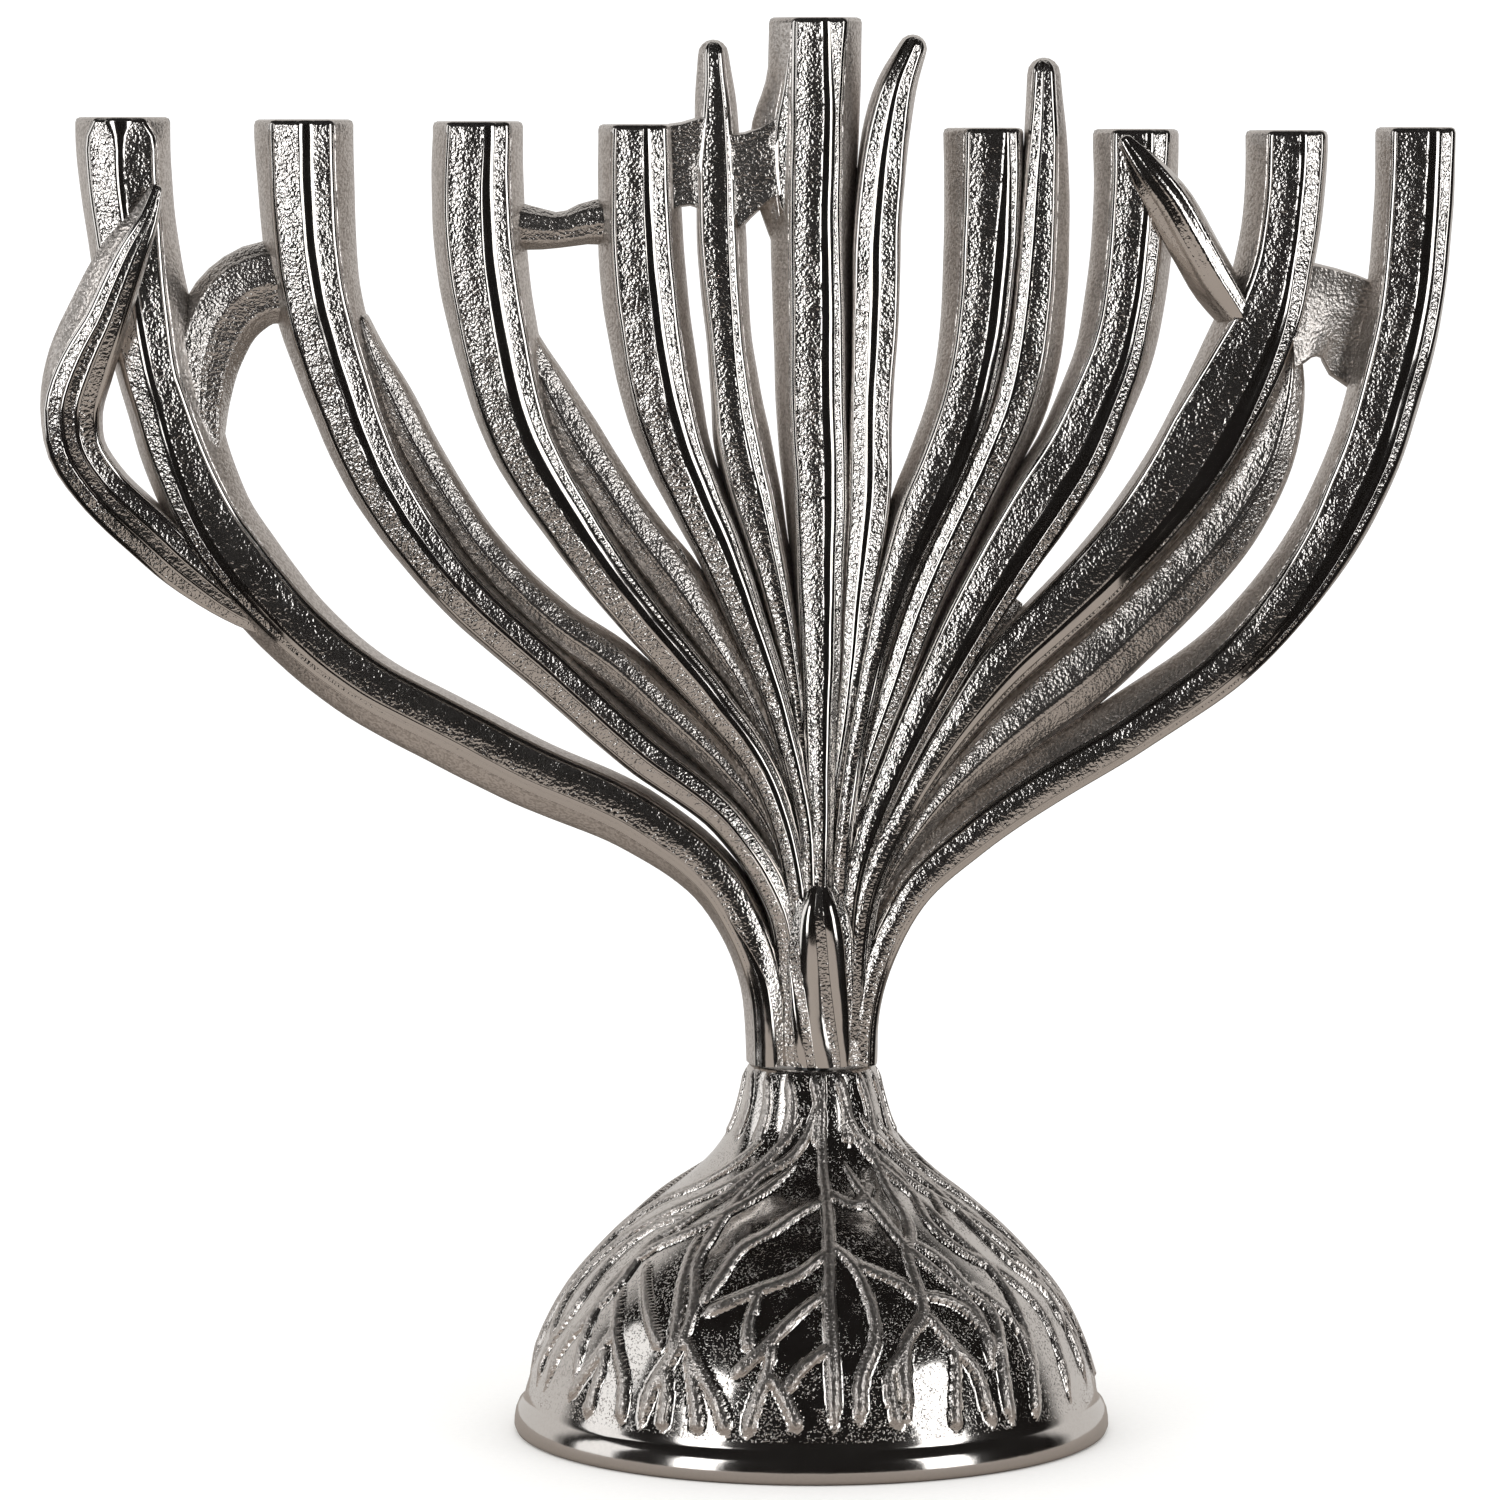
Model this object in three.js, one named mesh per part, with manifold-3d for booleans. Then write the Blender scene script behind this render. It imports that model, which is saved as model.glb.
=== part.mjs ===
// A nine-light menorah in two castings. The branch casting is a fan of candle tubes, twigs and
// leaves that grow out of one trunk. It stands on a hollow domed base, and a screw from inside
// the dome draws the trunk down on to the neck. The branch casting is one piece of metal, held
// here as its limbs, each a closed solid a hair clear of its neighbours.
// Millimetres, +Z up. The fan lies in the XZ plane and its front faces -Y.

import * as THREE from "three";
import { mergeVertices } from "three/addons/utils/BufferGeometryUtils.js";
import Module from "manifold-3d";

const wasm = await Module();
wasm.setup();

// ---- driving dimensions -------------------------------------------------------------------

const GAP = 0.3; // between neighbouring solids
const SEAM_Z = 63; // the trunk stands on the neck of the base here
const NECK_SEAT_Z = 48; // underside of the neck, inside the dome
const TRUNK_RADIUS = 11;
const TRUNK_TOP_Z = 98;
const BASE_RADIUS = 50.9;
const BASE_WALL = 3.2;

const CANDLE_BORE_RADIUS = 4.9; // for candles of 9.5 mm
const CANDLE_BORE_DEPTH = 16;

const SCREW_SHANK_RADIUS = 2.9; // M6
const SCREW_HOLE_RADIUS = 3.3;
const SCREW_TIP_Z = 78;
const SCREW_HEAD = { radius: 5.5, height: 3.6, slotWidth: 1.5, slotDepth: 1.8 };
const PLAIN_WASHER = { inner: 3.25, outer: 6.5, height: 1.4 };
const SPRING_WASHER = { inner: 3.25, outer: 5.4, height: 1.6, split: 0.2 };

const LIMB_SIDES = 12; // facets round a limb
const LIMB_STEP = 11; // length of a facet along a limb
const SQUARENESS = 0.8; // 1 is an ellipse, less is squarer
const ROUND_SIDES = 48; // facets round the dome

// ---- materials ----------------------------------------------------------------------------

const nickel = new THREE.MeshStandardMaterial({ color: 0xbdb8b2, roughness: 0.3, metalness: 1 });
const zinc = new THREE.MeshStandardMaterial({ color: 0x9c9ea0, roughness: 0.45, metalness: 1 });

// ---- limbs --------------------------------------------------------------------------------
// Each stop along a limb is [x, z, half width, half depth, y]. Half width is across the limb in
// the plane of the fan, half depth is front to back, and y is 0 where it is left out. Stops run
// from the trunk upwards. x is measured from the trunk's axis.

const LIMBS = {
  far_left: [
    [-5, 68, 4, 7], [-7.5, 78, 4, 7.5], [-10.5, 85, 4.2, 7.5], [-16, 94, 4.8, 7.2],
    [-29, 104.3, 5.5, 7], [-49.5, 113.5, 6, 7], [-62, 120, 6.1, 7], [-77.5, 128.7, 6.2, 7],
    [-88, 138, 6.5, 7], [-95.5, 147, 7, 7.2], [-101.5, 156, 7.1, 7.3],
    [-105.5, 165.5, 7.4, 7.5], [-108.5, 176, 7.6, 7.5], [-111, 185, 7.7, 7.6],
    [-113.2, 195, 7.6, 7.6], [-115, 206, 7.6, 7.6], [-116, 215, 7.9, 7.7],
    [-116.2, 225, 8.1, 7.8],
  ],
  left_outer: [
    [-3.5, 68, 3.5, 8.5], [-5, 90, 3, 8.5], [-14, 104.5, 3.2, 7.8], [-29.5, 117, 4, 7.3],
    [-43, 128.5, 4.5, 7], [-61, 145.5, 5.1, 7], [-72.5, 162, 5.9, 7], [-79, 178, 6.8, 7.2],
    [-83.7, 194, 7.6, 7.5], [-85.3, 210, 8.1, 7.8], [-85.8, 225, 8.5, 8],
  ],
  left_outer_rib: [
    [-3, 90, 2.5, 7], [-8, 105, 3, 6.5], [-16, 115, 4, 6], [-24.5, 123, 4.5, 6],
    [-33.5, 131.3, 4.8, 6], [-43, 138, 4.2, 5.8], [-50, 144.5, 3.6, 5.5],
    [-57, 152.5, 3.5, 5.5], [-62.5, 161, 3.4, 5.2], [-67.5, 169.5, 3.2, 5],
    [-70.8, 177, 2.2, 4.5], [-72.5, 182, 1, 3.5],
  ],
  left_middle: [
    [-2.2, 68, 3, 9.5], [-2.5, 97, 2, 8.5], [-9, 115, 2.6, 7.8], [-17, 125.5, 3.3, 7.4],
    [-28, 138.5, 4.1, 7.2], [-39.2, 153.3, 5, 7], [-48.7, 169.5, 6.2, 7.1],
    [-53.4, 186, 7.3, 7.3], [-55.9, 201.5, 7.8, 7.5], [-56.5, 212, 7.8, 7.5],
    [-56.2, 225, 7.5, 7.5],
  ],
  left_middle_rib: [
    [-2, 100, 1.5, 7], [-6, 116.3, 2.2, 6.5], [-11, 126.2, 3, 6.2], [-16.5, 135, 3.9, 6],
    [-22.7, 144.6, 4.9, 6], [-29.7, 153.7, 4.6, 5.8], [-35, 161.2, 4, 5.5],
    [-40.5, 169.6, 3.6, 5.2], [-44.2, 177, 2.6, 4.8], [-47, 185, 1, 4],
  ],
  left_inner: [
    [-1.2, 68, 3, 10], [-1.5, 108, 1.8, 8.5], [-6, 125.5, 2.6, 7.8], [-9.3, 134.6, 3.2, 7.5],
    [-15, 149.6, 4.3, 7.2], [-20, 160.6, 5.2, 7], [-23.2, 168.7, 6, 7],
    [-25.5, 177.2, 6.8, 7], [-27.1, 185.6, 7.1, 7], [-28.5, 197, 7.3, 7.1],
    [-29.2, 210, 7, 7], [-29.5, 225, 6.5, 7],
  ],
  twig_left: [
    [-0.8, 110, 1.2, 6.5], [-2.5, 125.2, 1.6, 6.5], [-5.5, 142.6, 2.8, 6],
    [-7.5, 151.1, 3.6, 5.8], [-9.7, 159.8, 4.6, 5.6], [-11.7, 168.8, 4.9, 5.4],
    [-12.9, 176.9, 4.3, 5.2], [-13.9, 185, 3.9, 5], [-15.2, 202, 4.2, 5],
    [-15.8, 215, 3.9, 4.8], [-16.3, 227.5, 3.3, 4], [-16.7, 234, 2.2, 2.8],
    [-16.9, 236.7, 0.9, 1.2],
  ],
  shamash: [
    [1, 68, 3, 11], [1.4, 100, 2.2, 9.5], [1.4, 125, 3.2, 8.2], [1.2, 142, 4.2, 7.6],
    [0.7, 159, 5.4, 7.3], [0.1, 176, 6.3, 7.2], [0, 193, 6.7, 7.2], [0, 210, 7.2, 7.3],
    [0.3, 225, 7.8, 7.5], [0.5, 242, 7.8, 7.6],
  ],
  twig_middle: [
    [3, 105, 1.7, 7], [5.9, 125, 2, 6.6], [7.7, 142, 2.8, 6.2], [9.5, 159, 3.8, 5.8],
    [10, 176, 3.7, 5.5], [10.7, 193, 4.1, 5.3], [11.2, 210, 4.1, 5.2], [12.2, 222, 4, 5],
    [13.8, 229.5, 3.3, 4.4], [16, 234.8, 2.3, 3.2], [17.4, 237.5, 1.1, 1.6],
  ],
  right_inner: [
    [4.5, 68, 3, 9], [5.5, 105, 2, 8], [8.7, 125, 2.2, 7.4], [11.6, 138.2, 2.9, 7.2],
    [14.5, 147.7, 3.7, 7], [18, 158, 4.9, 7], [21.3, 165.5, 5.2, 7], [24.6, 174.5, 5.4, 7],
    [26.7, 184, 5.6, 7], [28, 195, 6, 7], [28.7, 207, 6.5, 7], [28.9, 225, 6.9, 7],
  ],
  twig_right: [
    [5.5, 100, 1.5, 7], [9, 113, 2.2, 6.8], [13, 124.5, 2.8, 6.5], [19, 140.7, 3.7, 6.2],
    [26.8, 157.5, 4.2, 6], [31, 166, 4.3, 5.8], [34.8, 174.5, 4.7, 5.6],
    [37.2, 184, 4.8, 5.4], [38.4, 193, 4.7, 5.3], [39.2, 208, 4.2, 5], [39.3, 222, 3.3, 4.2],
    [39, 230, 2.3, 3.2], [39, 233.9, 0.9, 1.3],
  ],
  right_middle: [
    [5.5, 68, 3, 8.5], [8.5, 100, 2.2, 8], [14.8, 115.5, 3, 7.6], [23.6, 133.4, 4.2, 7.2],
    [33.8, 151, 5.5, 7], [39, 159.3, 6.2, 7], [44.3, 167.8, 6.4, 7], [48, 176, 6.5, 7],
    [50.7, 183, 6.6, 7], [52.7, 192, 6.8, 7.1], [54, 203, 6.9, 7.2], [54.5, 213, 7.1, 7.2],
    [54.5, 225, 7.4, 7.2],
  ],
  right_outer: [
    [6.8, 68, 3, 8], [10, 95, 2.4, 7.8], [16, 107.3, 2.3, 7.6], [24.7, 121.3, 3.2, 7.3],
    [32, 131, 4.3, 7.1], [40, 138.8, 4.7, 7], [48.5, 147.2, 5.2, 7], [56, 155.7, 5.7, 7],
    [62.5, 164.5, 6.3, 7], [68, 174, 6.9, 7], [72.6, 183, 7.2, 7], [76.3, 192, 6.9, 7.1],
    [78.6, 202, 6.7, 7.2], [79.7, 212, 6.8, 7.2], [80, 225, 7.1, 7.2],
  ],
  right_outer_rib: [
    [8, 85, 2.5, 7], [14, 98, 2.7, 6.8], [20.8, 107.8, 3.4, 6.6], [26.7, 114.2, 4.4, 6.4],
    [35.3, 122, 5.9, 6.2], [44.3, 129.3, 6.6, 6], [53.7, 137.7, 6.5, 5.8],
    [63.1, 147.3, 6.4, 5.6], [71, 157.2, 6.1, 5.4], [76.8, 167.2, 5.3, 5.2],
    [80.2, 177, 3.6, 4.8], [82, 184, 1.4, 4],
  ],
  far_right: [
    [7, 68, 3.5, 7], [8.8, 78, 3.6, 7.3], [11.5, 85, 3.8, 7.3], [16.2, 93.8, 4.5, 7.2],
    [26.3, 103.4, 5, 7], [39.4, 112.6, 5.3, 7], [53.5, 121.2, 5.3, 7], [71.2, 133.7, 5.4, 7],
    [79.2, 142.2, 5.6, 7], [85.4, 150.7, 5.8, 7], [90.1, 159, 6, 7], [93.9, 167.7, 6.2, 7],
    [96.4, 176, 6.3, 7], [98.5, 184.6, 6.5, 7.1], [100.1, 193, 6.6, 7.1],
    [101.2, 205, 6.7, 7.2], [101.7, 225, 6.7, 7.2],
  ],
  leaf_left: [
    [-109.5, 213, 0.8, 0.8, -8.6], [-111.5, 208, 2.2, 1.8, -9], [-115, 201.5, 3.9, 2.4, -9],
    [-120, 191.3, 5.2, 3, -7.8], [-123.8, 182.6, 5.8, 3.4, -5.5], [-125.7, 174, 5.2, 3.6, -3.2],
    [-125, 167.6, 4.8, 3.8, -1.5], [-121.3, 161.4, 4.3, 4, 0], [-112.6, 153, 4, 4, 0],
    [-103.5, 144, 3, 3.6, 0],
  ],
  leaf_right: [
    [52, 220.5, 0.8, 0.8, -8.2], [55.5, 215.5, 2.8, 1.8, -8.4], [60.5, 209.5, 4, 2.6, -7.4],
    [65, 202, 4.2, 3, -5.6], [68.8, 195.5, 4, 3, -4], [72.5, 189, 3, 3, -3],
  ],
  bridge_left: [
    [-52, 205.8, 4.2, 3.2], [-46.5, 205, 3.6, 3], [-42, 204.9, 3, 2.8], [-38, 206, 3.6, 3],
    [-32, 206.3, 4.4, 3.2],
  ],
};

// Height of the flat top of each candle tube.
const TUBE_TOPS = {
  far_left: 223.8, left_outer: 223.4, left_middle: 223.1, left_inner: 222.6, shamash: 240.5,
  right_inner: 222, right_middle: 221.8, right_outer: 221.6, far_right: 222.1,
};

// Above its cut plane a limb stands free, and below it the limbs are fused into the fan.
// Each plane is [x, z] of a point on it and [x, z] of the direction in which the limb leaves.
const CUTS = {
  far_left: [[-42, 120], [-0.9, 0.43]],
  left_outer: [[-34, 138.5], [-0.75, 0.66]],
  left_middle: [[-26, 159.5], [-0.5, 0.86]],
  left_inner: [[-18, 177], [-0.2, 0.98]],
  twig_left: [[-14, 177], [-0.1, 1]],
  shamash: [[0, 169], [0, 1]],
  twig_middle: [[0, 169], [0, 1]],
  right_inner: [[36, 181.5], [0.2, 0.98]],
  twig_right: [[36, 181.5], [0.2, 0.98]],
  right_middle: [[43, 181.5], [0.42, 0.9]],
  right_outer: [[38, 145.5], [0.68, 0.73]],
  far_right: [[54, 127], [0.83, 0.55]],
};

// Ribs are fused along one side of a tube and belong to its casting.
const RIBS = {
  left_outer: "left_outer_rib",
  left_middle: "left_middle_rib",
  right_outer: "right_outer_rib",
};

// Flat webs between limbs, as outlines in the plane of the fan, and half their thickness.
const WEB_HALF_DEPTH = 4;
const WEBS = {
  bridge_far_left: [
    [-108, 192], [-105.1, 193.6], [-102, 197], [-99, 200.2], [-95, 202.3], [-92.9, 204],
    [-88, 203], [-86, 189], [-89, 188.9], [-92.5, 189.2], [-95.5, 187.2], [-97.6, 184.3],
    [-99, 179], [-98.9, 173], [-100, 168], [-106, 172],
  ],
  web_left: [
    [-28, 222.8], [-21, 223], [-15, 225], [-15, 206], [-19.3, 207], [-20.6, 209.4],
    [-22.2, 208], [-28, 205],
  ],
  web_centre: [
    [-14, 223], [-12.2, 221.4], [-10.8, 221.2], [-9.9, 223.5], [-9.3, 227], [-7.8, 231],
    [-6, 234], [-3, 234], [-3, 206], [-7.2, 208.5], [-8.5, 210.4], [-10, 209],
    [-11.5, 204], [-14, 202],
  ],
  bridge_right: [
    [82, 201], [85, 199], [88.5, 197.3], [93.4, 196.8], [99, 198], [97, 176], [91.5, 179],
    [89.5, 182], [87, 184.1], [84.2, 183.6], [79, 181],
  ],
};

// ---- tools --------------------------------------------------------------------------------

/** A closed three.js geometry as a solid that can be joined and cut. */
function solidOf(geometry) {
  const bare = geometry.clone();
  bare.deleteAttribute("normal");
  bare.deleteAttribute("uv");
  const welded = mergeVertices(bare, 1e-4);
  return new wasm.Manifold(new wasm.Mesh({
    numProp: 3,
    vertProperties: welded.attributes.position.array,
    triVerts: new Uint32Array(welded.index.array),
  }));
}

/** A solid as a named mesh. Slivers that a cut leaves beside the main body are dropped. */
function meshOf(name, solid, material) {
  const bodies = solid.decompose().sort((a, b) => b.volume() - a.volume());
  const { vertProperties, triVerts } = bodies[0].getMesh();
  const geometry = new THREE.BufferGeometry();
  geometry.setAttribute("position", new THREE.BufferAttribute(vertProperties, 3));
  geometry.setIndex(new THREE.BufferAttribute(triVerts, 1));
  geometry.computeVertexNormals();
  const mesh = new THREE.Mesh(geometry, material);
  mesh.name = name;
  return mesh;
}

/** A unit cylinder bent along a limb's stops. grow makes it fatter all round, as a clearance. */
function limbSolid(stops, grow = 0) {
  const spine = new THREE.CatmullRomCurve3(
    stops.map(([x, z, , , y = 0]) => new THREE.Vector3(x, y, z)), false, "centripetal");
  const girth = new THREE.CatmullRomCurve3(
    stops.map(([, , width, depth]) => new THREE.Vector3(width, depth, 0)), false, "catmullrom", 0.5);
  const steps = Math.max(4, Math.ceil(spine.getLength() / LIMB_STEP));
  const geometry = new THREE.CylinderGeometry(1, 1, 1, LIMB_SIDES, steps);
  const position = geometry.attributes.position;
  for (let i = 0; i < position.count; i++) {
    const along = spine.getUtoTmapping(Math.min(1, Math.max(0, position.getY(i) + 0.5)));
    const centre = spine.getPoint(along);
    const { x: width, y: depth } = girth.getPoint(along);
    const heading = spine.getTangent(along);
    const flat = Math.hypot(heading.x, heading.z);
    const across = squared(position.getX(i)) * (width + grow);
    position.setXYZ(
      i,
      centre.x + (heading.z / flat) * across,
      centre.y - squared(position.getZ(i)) * (depth + grow),
      centre.z - (heading.x / flat) * across,
    );
  }
  return solidOf(geometry);
}

/** A sine or cosine pushed outwards, so that a circle becomes a rounded square. */
function squared(value) {
  return Math.sign(value) * Math.abs(value) ** SQUARENESS;
}

/** A flat outline in the XZ plane, thickened to both sides of it. */
function plateSolid(outline, halfDepth) {
  const shape = new THREE.Shape(outline.map(([x, z]) => new THREE.Vector2(x, z)));
  const geometry = new THREE.ExtrudeGeometry(shape, { depth: 2 * halfDepth, bevelEnabled: false });
  geometry.translate(0, 0, -halfDepth);
  geometry.rotateX(Math.PI / 2);
  return solidOf(geometry);
}

/** A profile of [radius, z] turned about the Z axis. */
function turnedSolid(profile, sides = ROUND_SIDES) {
  const points = profile.map(([radius, z]) => new THREE.Vector2(radius, z));
  return solidOf(new THREE.LatheGeometry(points, sides).rotateX(Math.PI / 2));
}

/** A plain round bar between two heights, with its axis on x, y = 0. */
function barSolid(radius, lowZ, highZ, x = 0, sides = 24) {
  const geometry = new THREE.CylinderGeometry(radius, radius, highZ - lowZ, sides);
  geometry.rotateX(Math.PI / 2).translate(x, 0, (lowZ + highZ) / 2);
  return solidOf(geometry);
}

/** The part of a solid beyond a cut plane, or before it, half a gap clear of the plane. */
function beyond(solid, [[x, z], [dirX, dirZ]]) {
  const length = Math.hypot(dirX, dirZ);
  return solid.trimByPlane([dirX, 0, dirZ], (x * dirX + z * dirZ) / length + GAP / 2);
}

function before(solid, [point, [dirX, dirZ]]) {
  return beyond(solid, [point, [-dirX, -dirZ]]);
}

// ---- branch casting -----------------------------------------------------------------------

/** A limb with its rib, as tall as its own stops make it. */
function limbWithRib(name, grow = 0) {
  const limb = limbSolid(LIMBS[name], grow);
  return RIBS[name] ? limb.add(limbSolid(LIMBS[RIBS[name]], grow)) : limb;
}

/** The trunk and all limbs up to their cut planes, with the hole for the draw screw. */
function trunkFan() {
  let fan = turnedSolid([
    [0, SEAM_Z + GAP], [TRUNK_RADIUS, SEAM_Z + GAP], [TRUNK_RADIUS, 76], [TRUNK_RADIUS - 1, 86],
    [6, TRUNK_TOP_Z], [0, TRUNK_TOP_Z],
  ], 32);
  for (const [name, cut] of Object.entries(CUTS)) fan = fan.add(before(limbWithRib(name), cut));
  const hole = barSolid(SCREW_HOLE_RADIUS, SEAM_Z - 1, SCREW_TIP_Z + 2);
  return fan.trimByPlane([0, 0, 1], SEAM_Z + GAP).subtract(hole);
}

/** The free part of a candle tube, with its flat top and the bore that a candle stands in. */
function candleTube(name) {
  const top = TUBE_TOPS[name];
  const stops = LIMBS[name];
  const tube = beyond(limbWithRib(name), CUTS[name]).trimByPlane([0, 0, -1], -top);
  const axisX = stops[stops.length - 1][0];
  return tube.subtract(barSolid(CANDLE_BORE_RADIUS, top - CANDLE_BORE_DEPTH, top + 2, axisX));
}

/** A solid cut clear of the limbs named. */
function clearOf(solid, names) {
  return names.reduce((rest, name) => rest.subtract(limbWithRib(name, GAP)), solid);
}

function branchCasting() {
  const casting = new THREE.Group();
  const put = (name, solid) => casting.add(meshOf(name, solid, nickel));
  put("trunk_fan", trunkFan());
  for (const name of Object.keys(TUBE_TOPS)) put(`branch_${name}`, candleTube(name));
  put("twig_left", beyond(limbSolid(LIMBS.twig_left), CUTS.twig_left));
  put("twig_middle", clearOf(beyond(limbSolid(LIMBS.twig_middle), CUTS.twig_middle), ["shamash"]));
  put("twig_right", clearOf(beyond(limbSolid(LIMBS.twig_right), CUTS.twig_right), ["right_inner"]));
  put("leaf_left", clearOf(limbSolid(LIMBS.leaf_left), ["far_left"]));
  put("leaf_right", clearOf(limbSolid(LIMBS.leaf_right), ["right_middle", "right_outer"]));
  put("bridge_left", clearOf(limbSolid(LIMBS.bridge_left), ["left_middle", "left_inner"]));
  const web = (name, neighbours) =>
    put(name, clearOf(plateSolid(WEBS[name], WEB_HALF_DEPTH), neighbours));
  web("bridge_far_left", ["far_left", "left_outer"]);
  web("web_left", ["left_inner", "twig_left"]);
  web("web_centre", ["twig_left", "shamash"]);
  web("bridge_right", ["right_outer", "far_right"]);
  return casting;
}

// ---- base casting and the hardware inside it ----------------------------------------------

/** A hollow dome with a plain rim below and a narrow neck above, bored for the draw screw. */
function baseDome() {
  const rim = [[BASE_RADIUS - 0.8, 0], [BASE_RADIUS, 2.6], [BASE_RADIUS - 0.5, 5.2],
    [BASE_RADIUS - 1.8, 6.8]];
  const outside = [[48.5, 8.2], [46.9, 13.3], [42.9, 22], [36, 30.6], [26.7, 39.3], [20.6, 44],
    [16.7, 47.9], [13.8, 52.5], [12.2, 57.5], [10.9, SEAM_Z]];
  const bore = [[SCREW_HOLE_RADIUS, SEAM_Z], [SCREW_HOLE_RADIUS, NECK_SEAT_Z]];
  const inside = [[9, NECK_SEAT_Z], [14.4, 45.3], [24.6, 36.9], [33.6, 28.4], [40.1, 20.4],
    [43.9, 12], [48.4 - BASE_WALL, 7], [BASE_RADIUS - BASE_WALL - 1.7, 0]];
  const closed = [...rim, ...outside, ...bore, ...inside, rim[0]];
  return meshOf("base_dome", turnedSolid(closed), nickel);
}

/** A washer, split if it has a share of a turn left open. */
function washer(name, { inner, outer, height, split = 0 }, topZ) {
  const open = split / 2;
  const shape = new THREE.Shape();
  shape.absarc(0, 0, outer, open, 2 * Math.PI - open, false);
  if (split) {
    shape.absarc(0, 0, inner, 2 * Math.PI - open, open, true);
  } else {
    shape.holes.push(new THREE.Path().absarc(0, 0, inner, 0, 2 * Math.PI, true));
  }
  const plate = { depth: height, bevelEnabled: false, curveSegments: 24 };
  const geometry = new THREE.ExtrudeGeometry(shape, plate).translate(0, 0, topZ - height);
  return meshOf(name, solidOf(geometry), zinc);
}

/** A slotted machine screw, head down. */
function drawScrew(headTopZ) {
  const { radius, height, slotWidth, slotDepth } = SCREW_HEAD;
  const headZ = headTopZ - height;
  const head = barSolid(radius, headZ, headTopZ);
  const shank = barSolid(SCREW_SHANK_RADIUS, headTopZ - 0.5, SCREW_TIP_Z);
  const slot = new THREE.BoxGeometry(3 * radius, slotWidth, 2 * slotDepth).translate(0, 0, headZ);
  return meshOf("draw_screw", head.add(shank).subtract(solidOf(slot)), zinc);
}

function fastening() {
  const plainTop = NECK_SEAT_Z - GAP;
  const springTop = plainTop - PLAIN_WASHER.height - GAP;
  const headTop = springTop - SPRING_WASHER.height - GAP;
  const hardware = new THREE.Group();
  hardware.add(washer("plain_washer", PLAIN_WASHER, plainTop));
  hardware.add(washer("spring_washer", SPRING_WASHER, springTop));
  hardware.add(drawScrew(headTop));
  return hardware;
}

// ---- assembly -----------------------------------------------------------------------------

/** The whole menorah, moved so that the origin is on the floor under the middle of its width. */
function menorah() {
  const whole = new THREE.Group();
  whole.name = "menorah";
  whole.add(baseDome(), fastening(), branchCasting());
  const box = new THREE.Box3().setFromObject(whole, true);
  whole.position.x = -(box.min.x + box.max.x) / 2;
  return whole;
}

export default menorah();
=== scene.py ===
# %% [markdown]
# # A tree of candle tubes in nickel-plated aluminium
# This nine-light menorah is two sand castings drawn together by one screw. The upper casting is a
# tree: nine candle tubes, three twigs and two leaves that grow out of one trunk. The lower
# casting is a hollow dome with roots in relief. The CAD model gives every size and place. Here
# the two castings are made again as fine surfaces, with the finishes that a foundry leaves.

# %% Load the frame
import math

import bpy
import numpy as np
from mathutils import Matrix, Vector


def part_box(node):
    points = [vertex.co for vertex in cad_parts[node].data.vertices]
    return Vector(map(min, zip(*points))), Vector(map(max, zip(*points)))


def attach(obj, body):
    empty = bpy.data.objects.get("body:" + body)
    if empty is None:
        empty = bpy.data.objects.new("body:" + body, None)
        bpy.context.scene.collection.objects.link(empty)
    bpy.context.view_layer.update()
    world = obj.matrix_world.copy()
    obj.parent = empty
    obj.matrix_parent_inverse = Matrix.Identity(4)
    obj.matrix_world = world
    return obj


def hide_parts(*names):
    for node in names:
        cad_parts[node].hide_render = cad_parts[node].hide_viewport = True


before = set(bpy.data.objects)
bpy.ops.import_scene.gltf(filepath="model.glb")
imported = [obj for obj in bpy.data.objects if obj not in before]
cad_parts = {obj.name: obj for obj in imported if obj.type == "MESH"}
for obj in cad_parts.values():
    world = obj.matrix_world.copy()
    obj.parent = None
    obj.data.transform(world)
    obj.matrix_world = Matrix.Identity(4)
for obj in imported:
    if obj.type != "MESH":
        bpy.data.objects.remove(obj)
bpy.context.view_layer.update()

base_low, base_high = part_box("base_dome")
TRUNK_X = (base_low.x + base_high.x) / 2  # the trunk stands on this line, a little right of centre
MM = 0.001
print("trunk axis at x =", round(TRUNK_X / MM, 2), "mm,", len(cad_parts), "CAD nodes")

# %% [markdown]
# ## From rings of points to a closed mesh
# Every new surface here is a grid: rings of points, one after another along a piece. Four
# neighbours make a face, each ring closes on itself, and the two ends are closed by a fan of
# triangles round one middle point. A ring profile that runs back into itself, such as the wall of
# the dome, has no ends. Whole arrays are built at once, which is both shorter and faster than
# adding faces one by one. Each corner also keeps two things for the materials: how the surface
# was finished there, and where it lies in millimetres along and across the piece.

# %% Grids into meshes
def volume(points, triangles):
    """Sum of signed tetrahedra from the origin to each triangle, positive if faces point out."""
    a, b, c = (points[triangles[:, k]] for k in range(3))
    return float(np.einsum("ij,ij->i", a, np.cross(b, c)).sum() / 6)


def walked(points):
    """The distance walked to each point of a line, or of every line of a grid, from its first."""
    steps = np.linalg.norm(np.diff(points, axis=-2), axis=-1)
    return np.concatenate([np.zeros(steps.shape[:-1] + (1,)), steps.cumsum(-1)], axis=-1)


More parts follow.
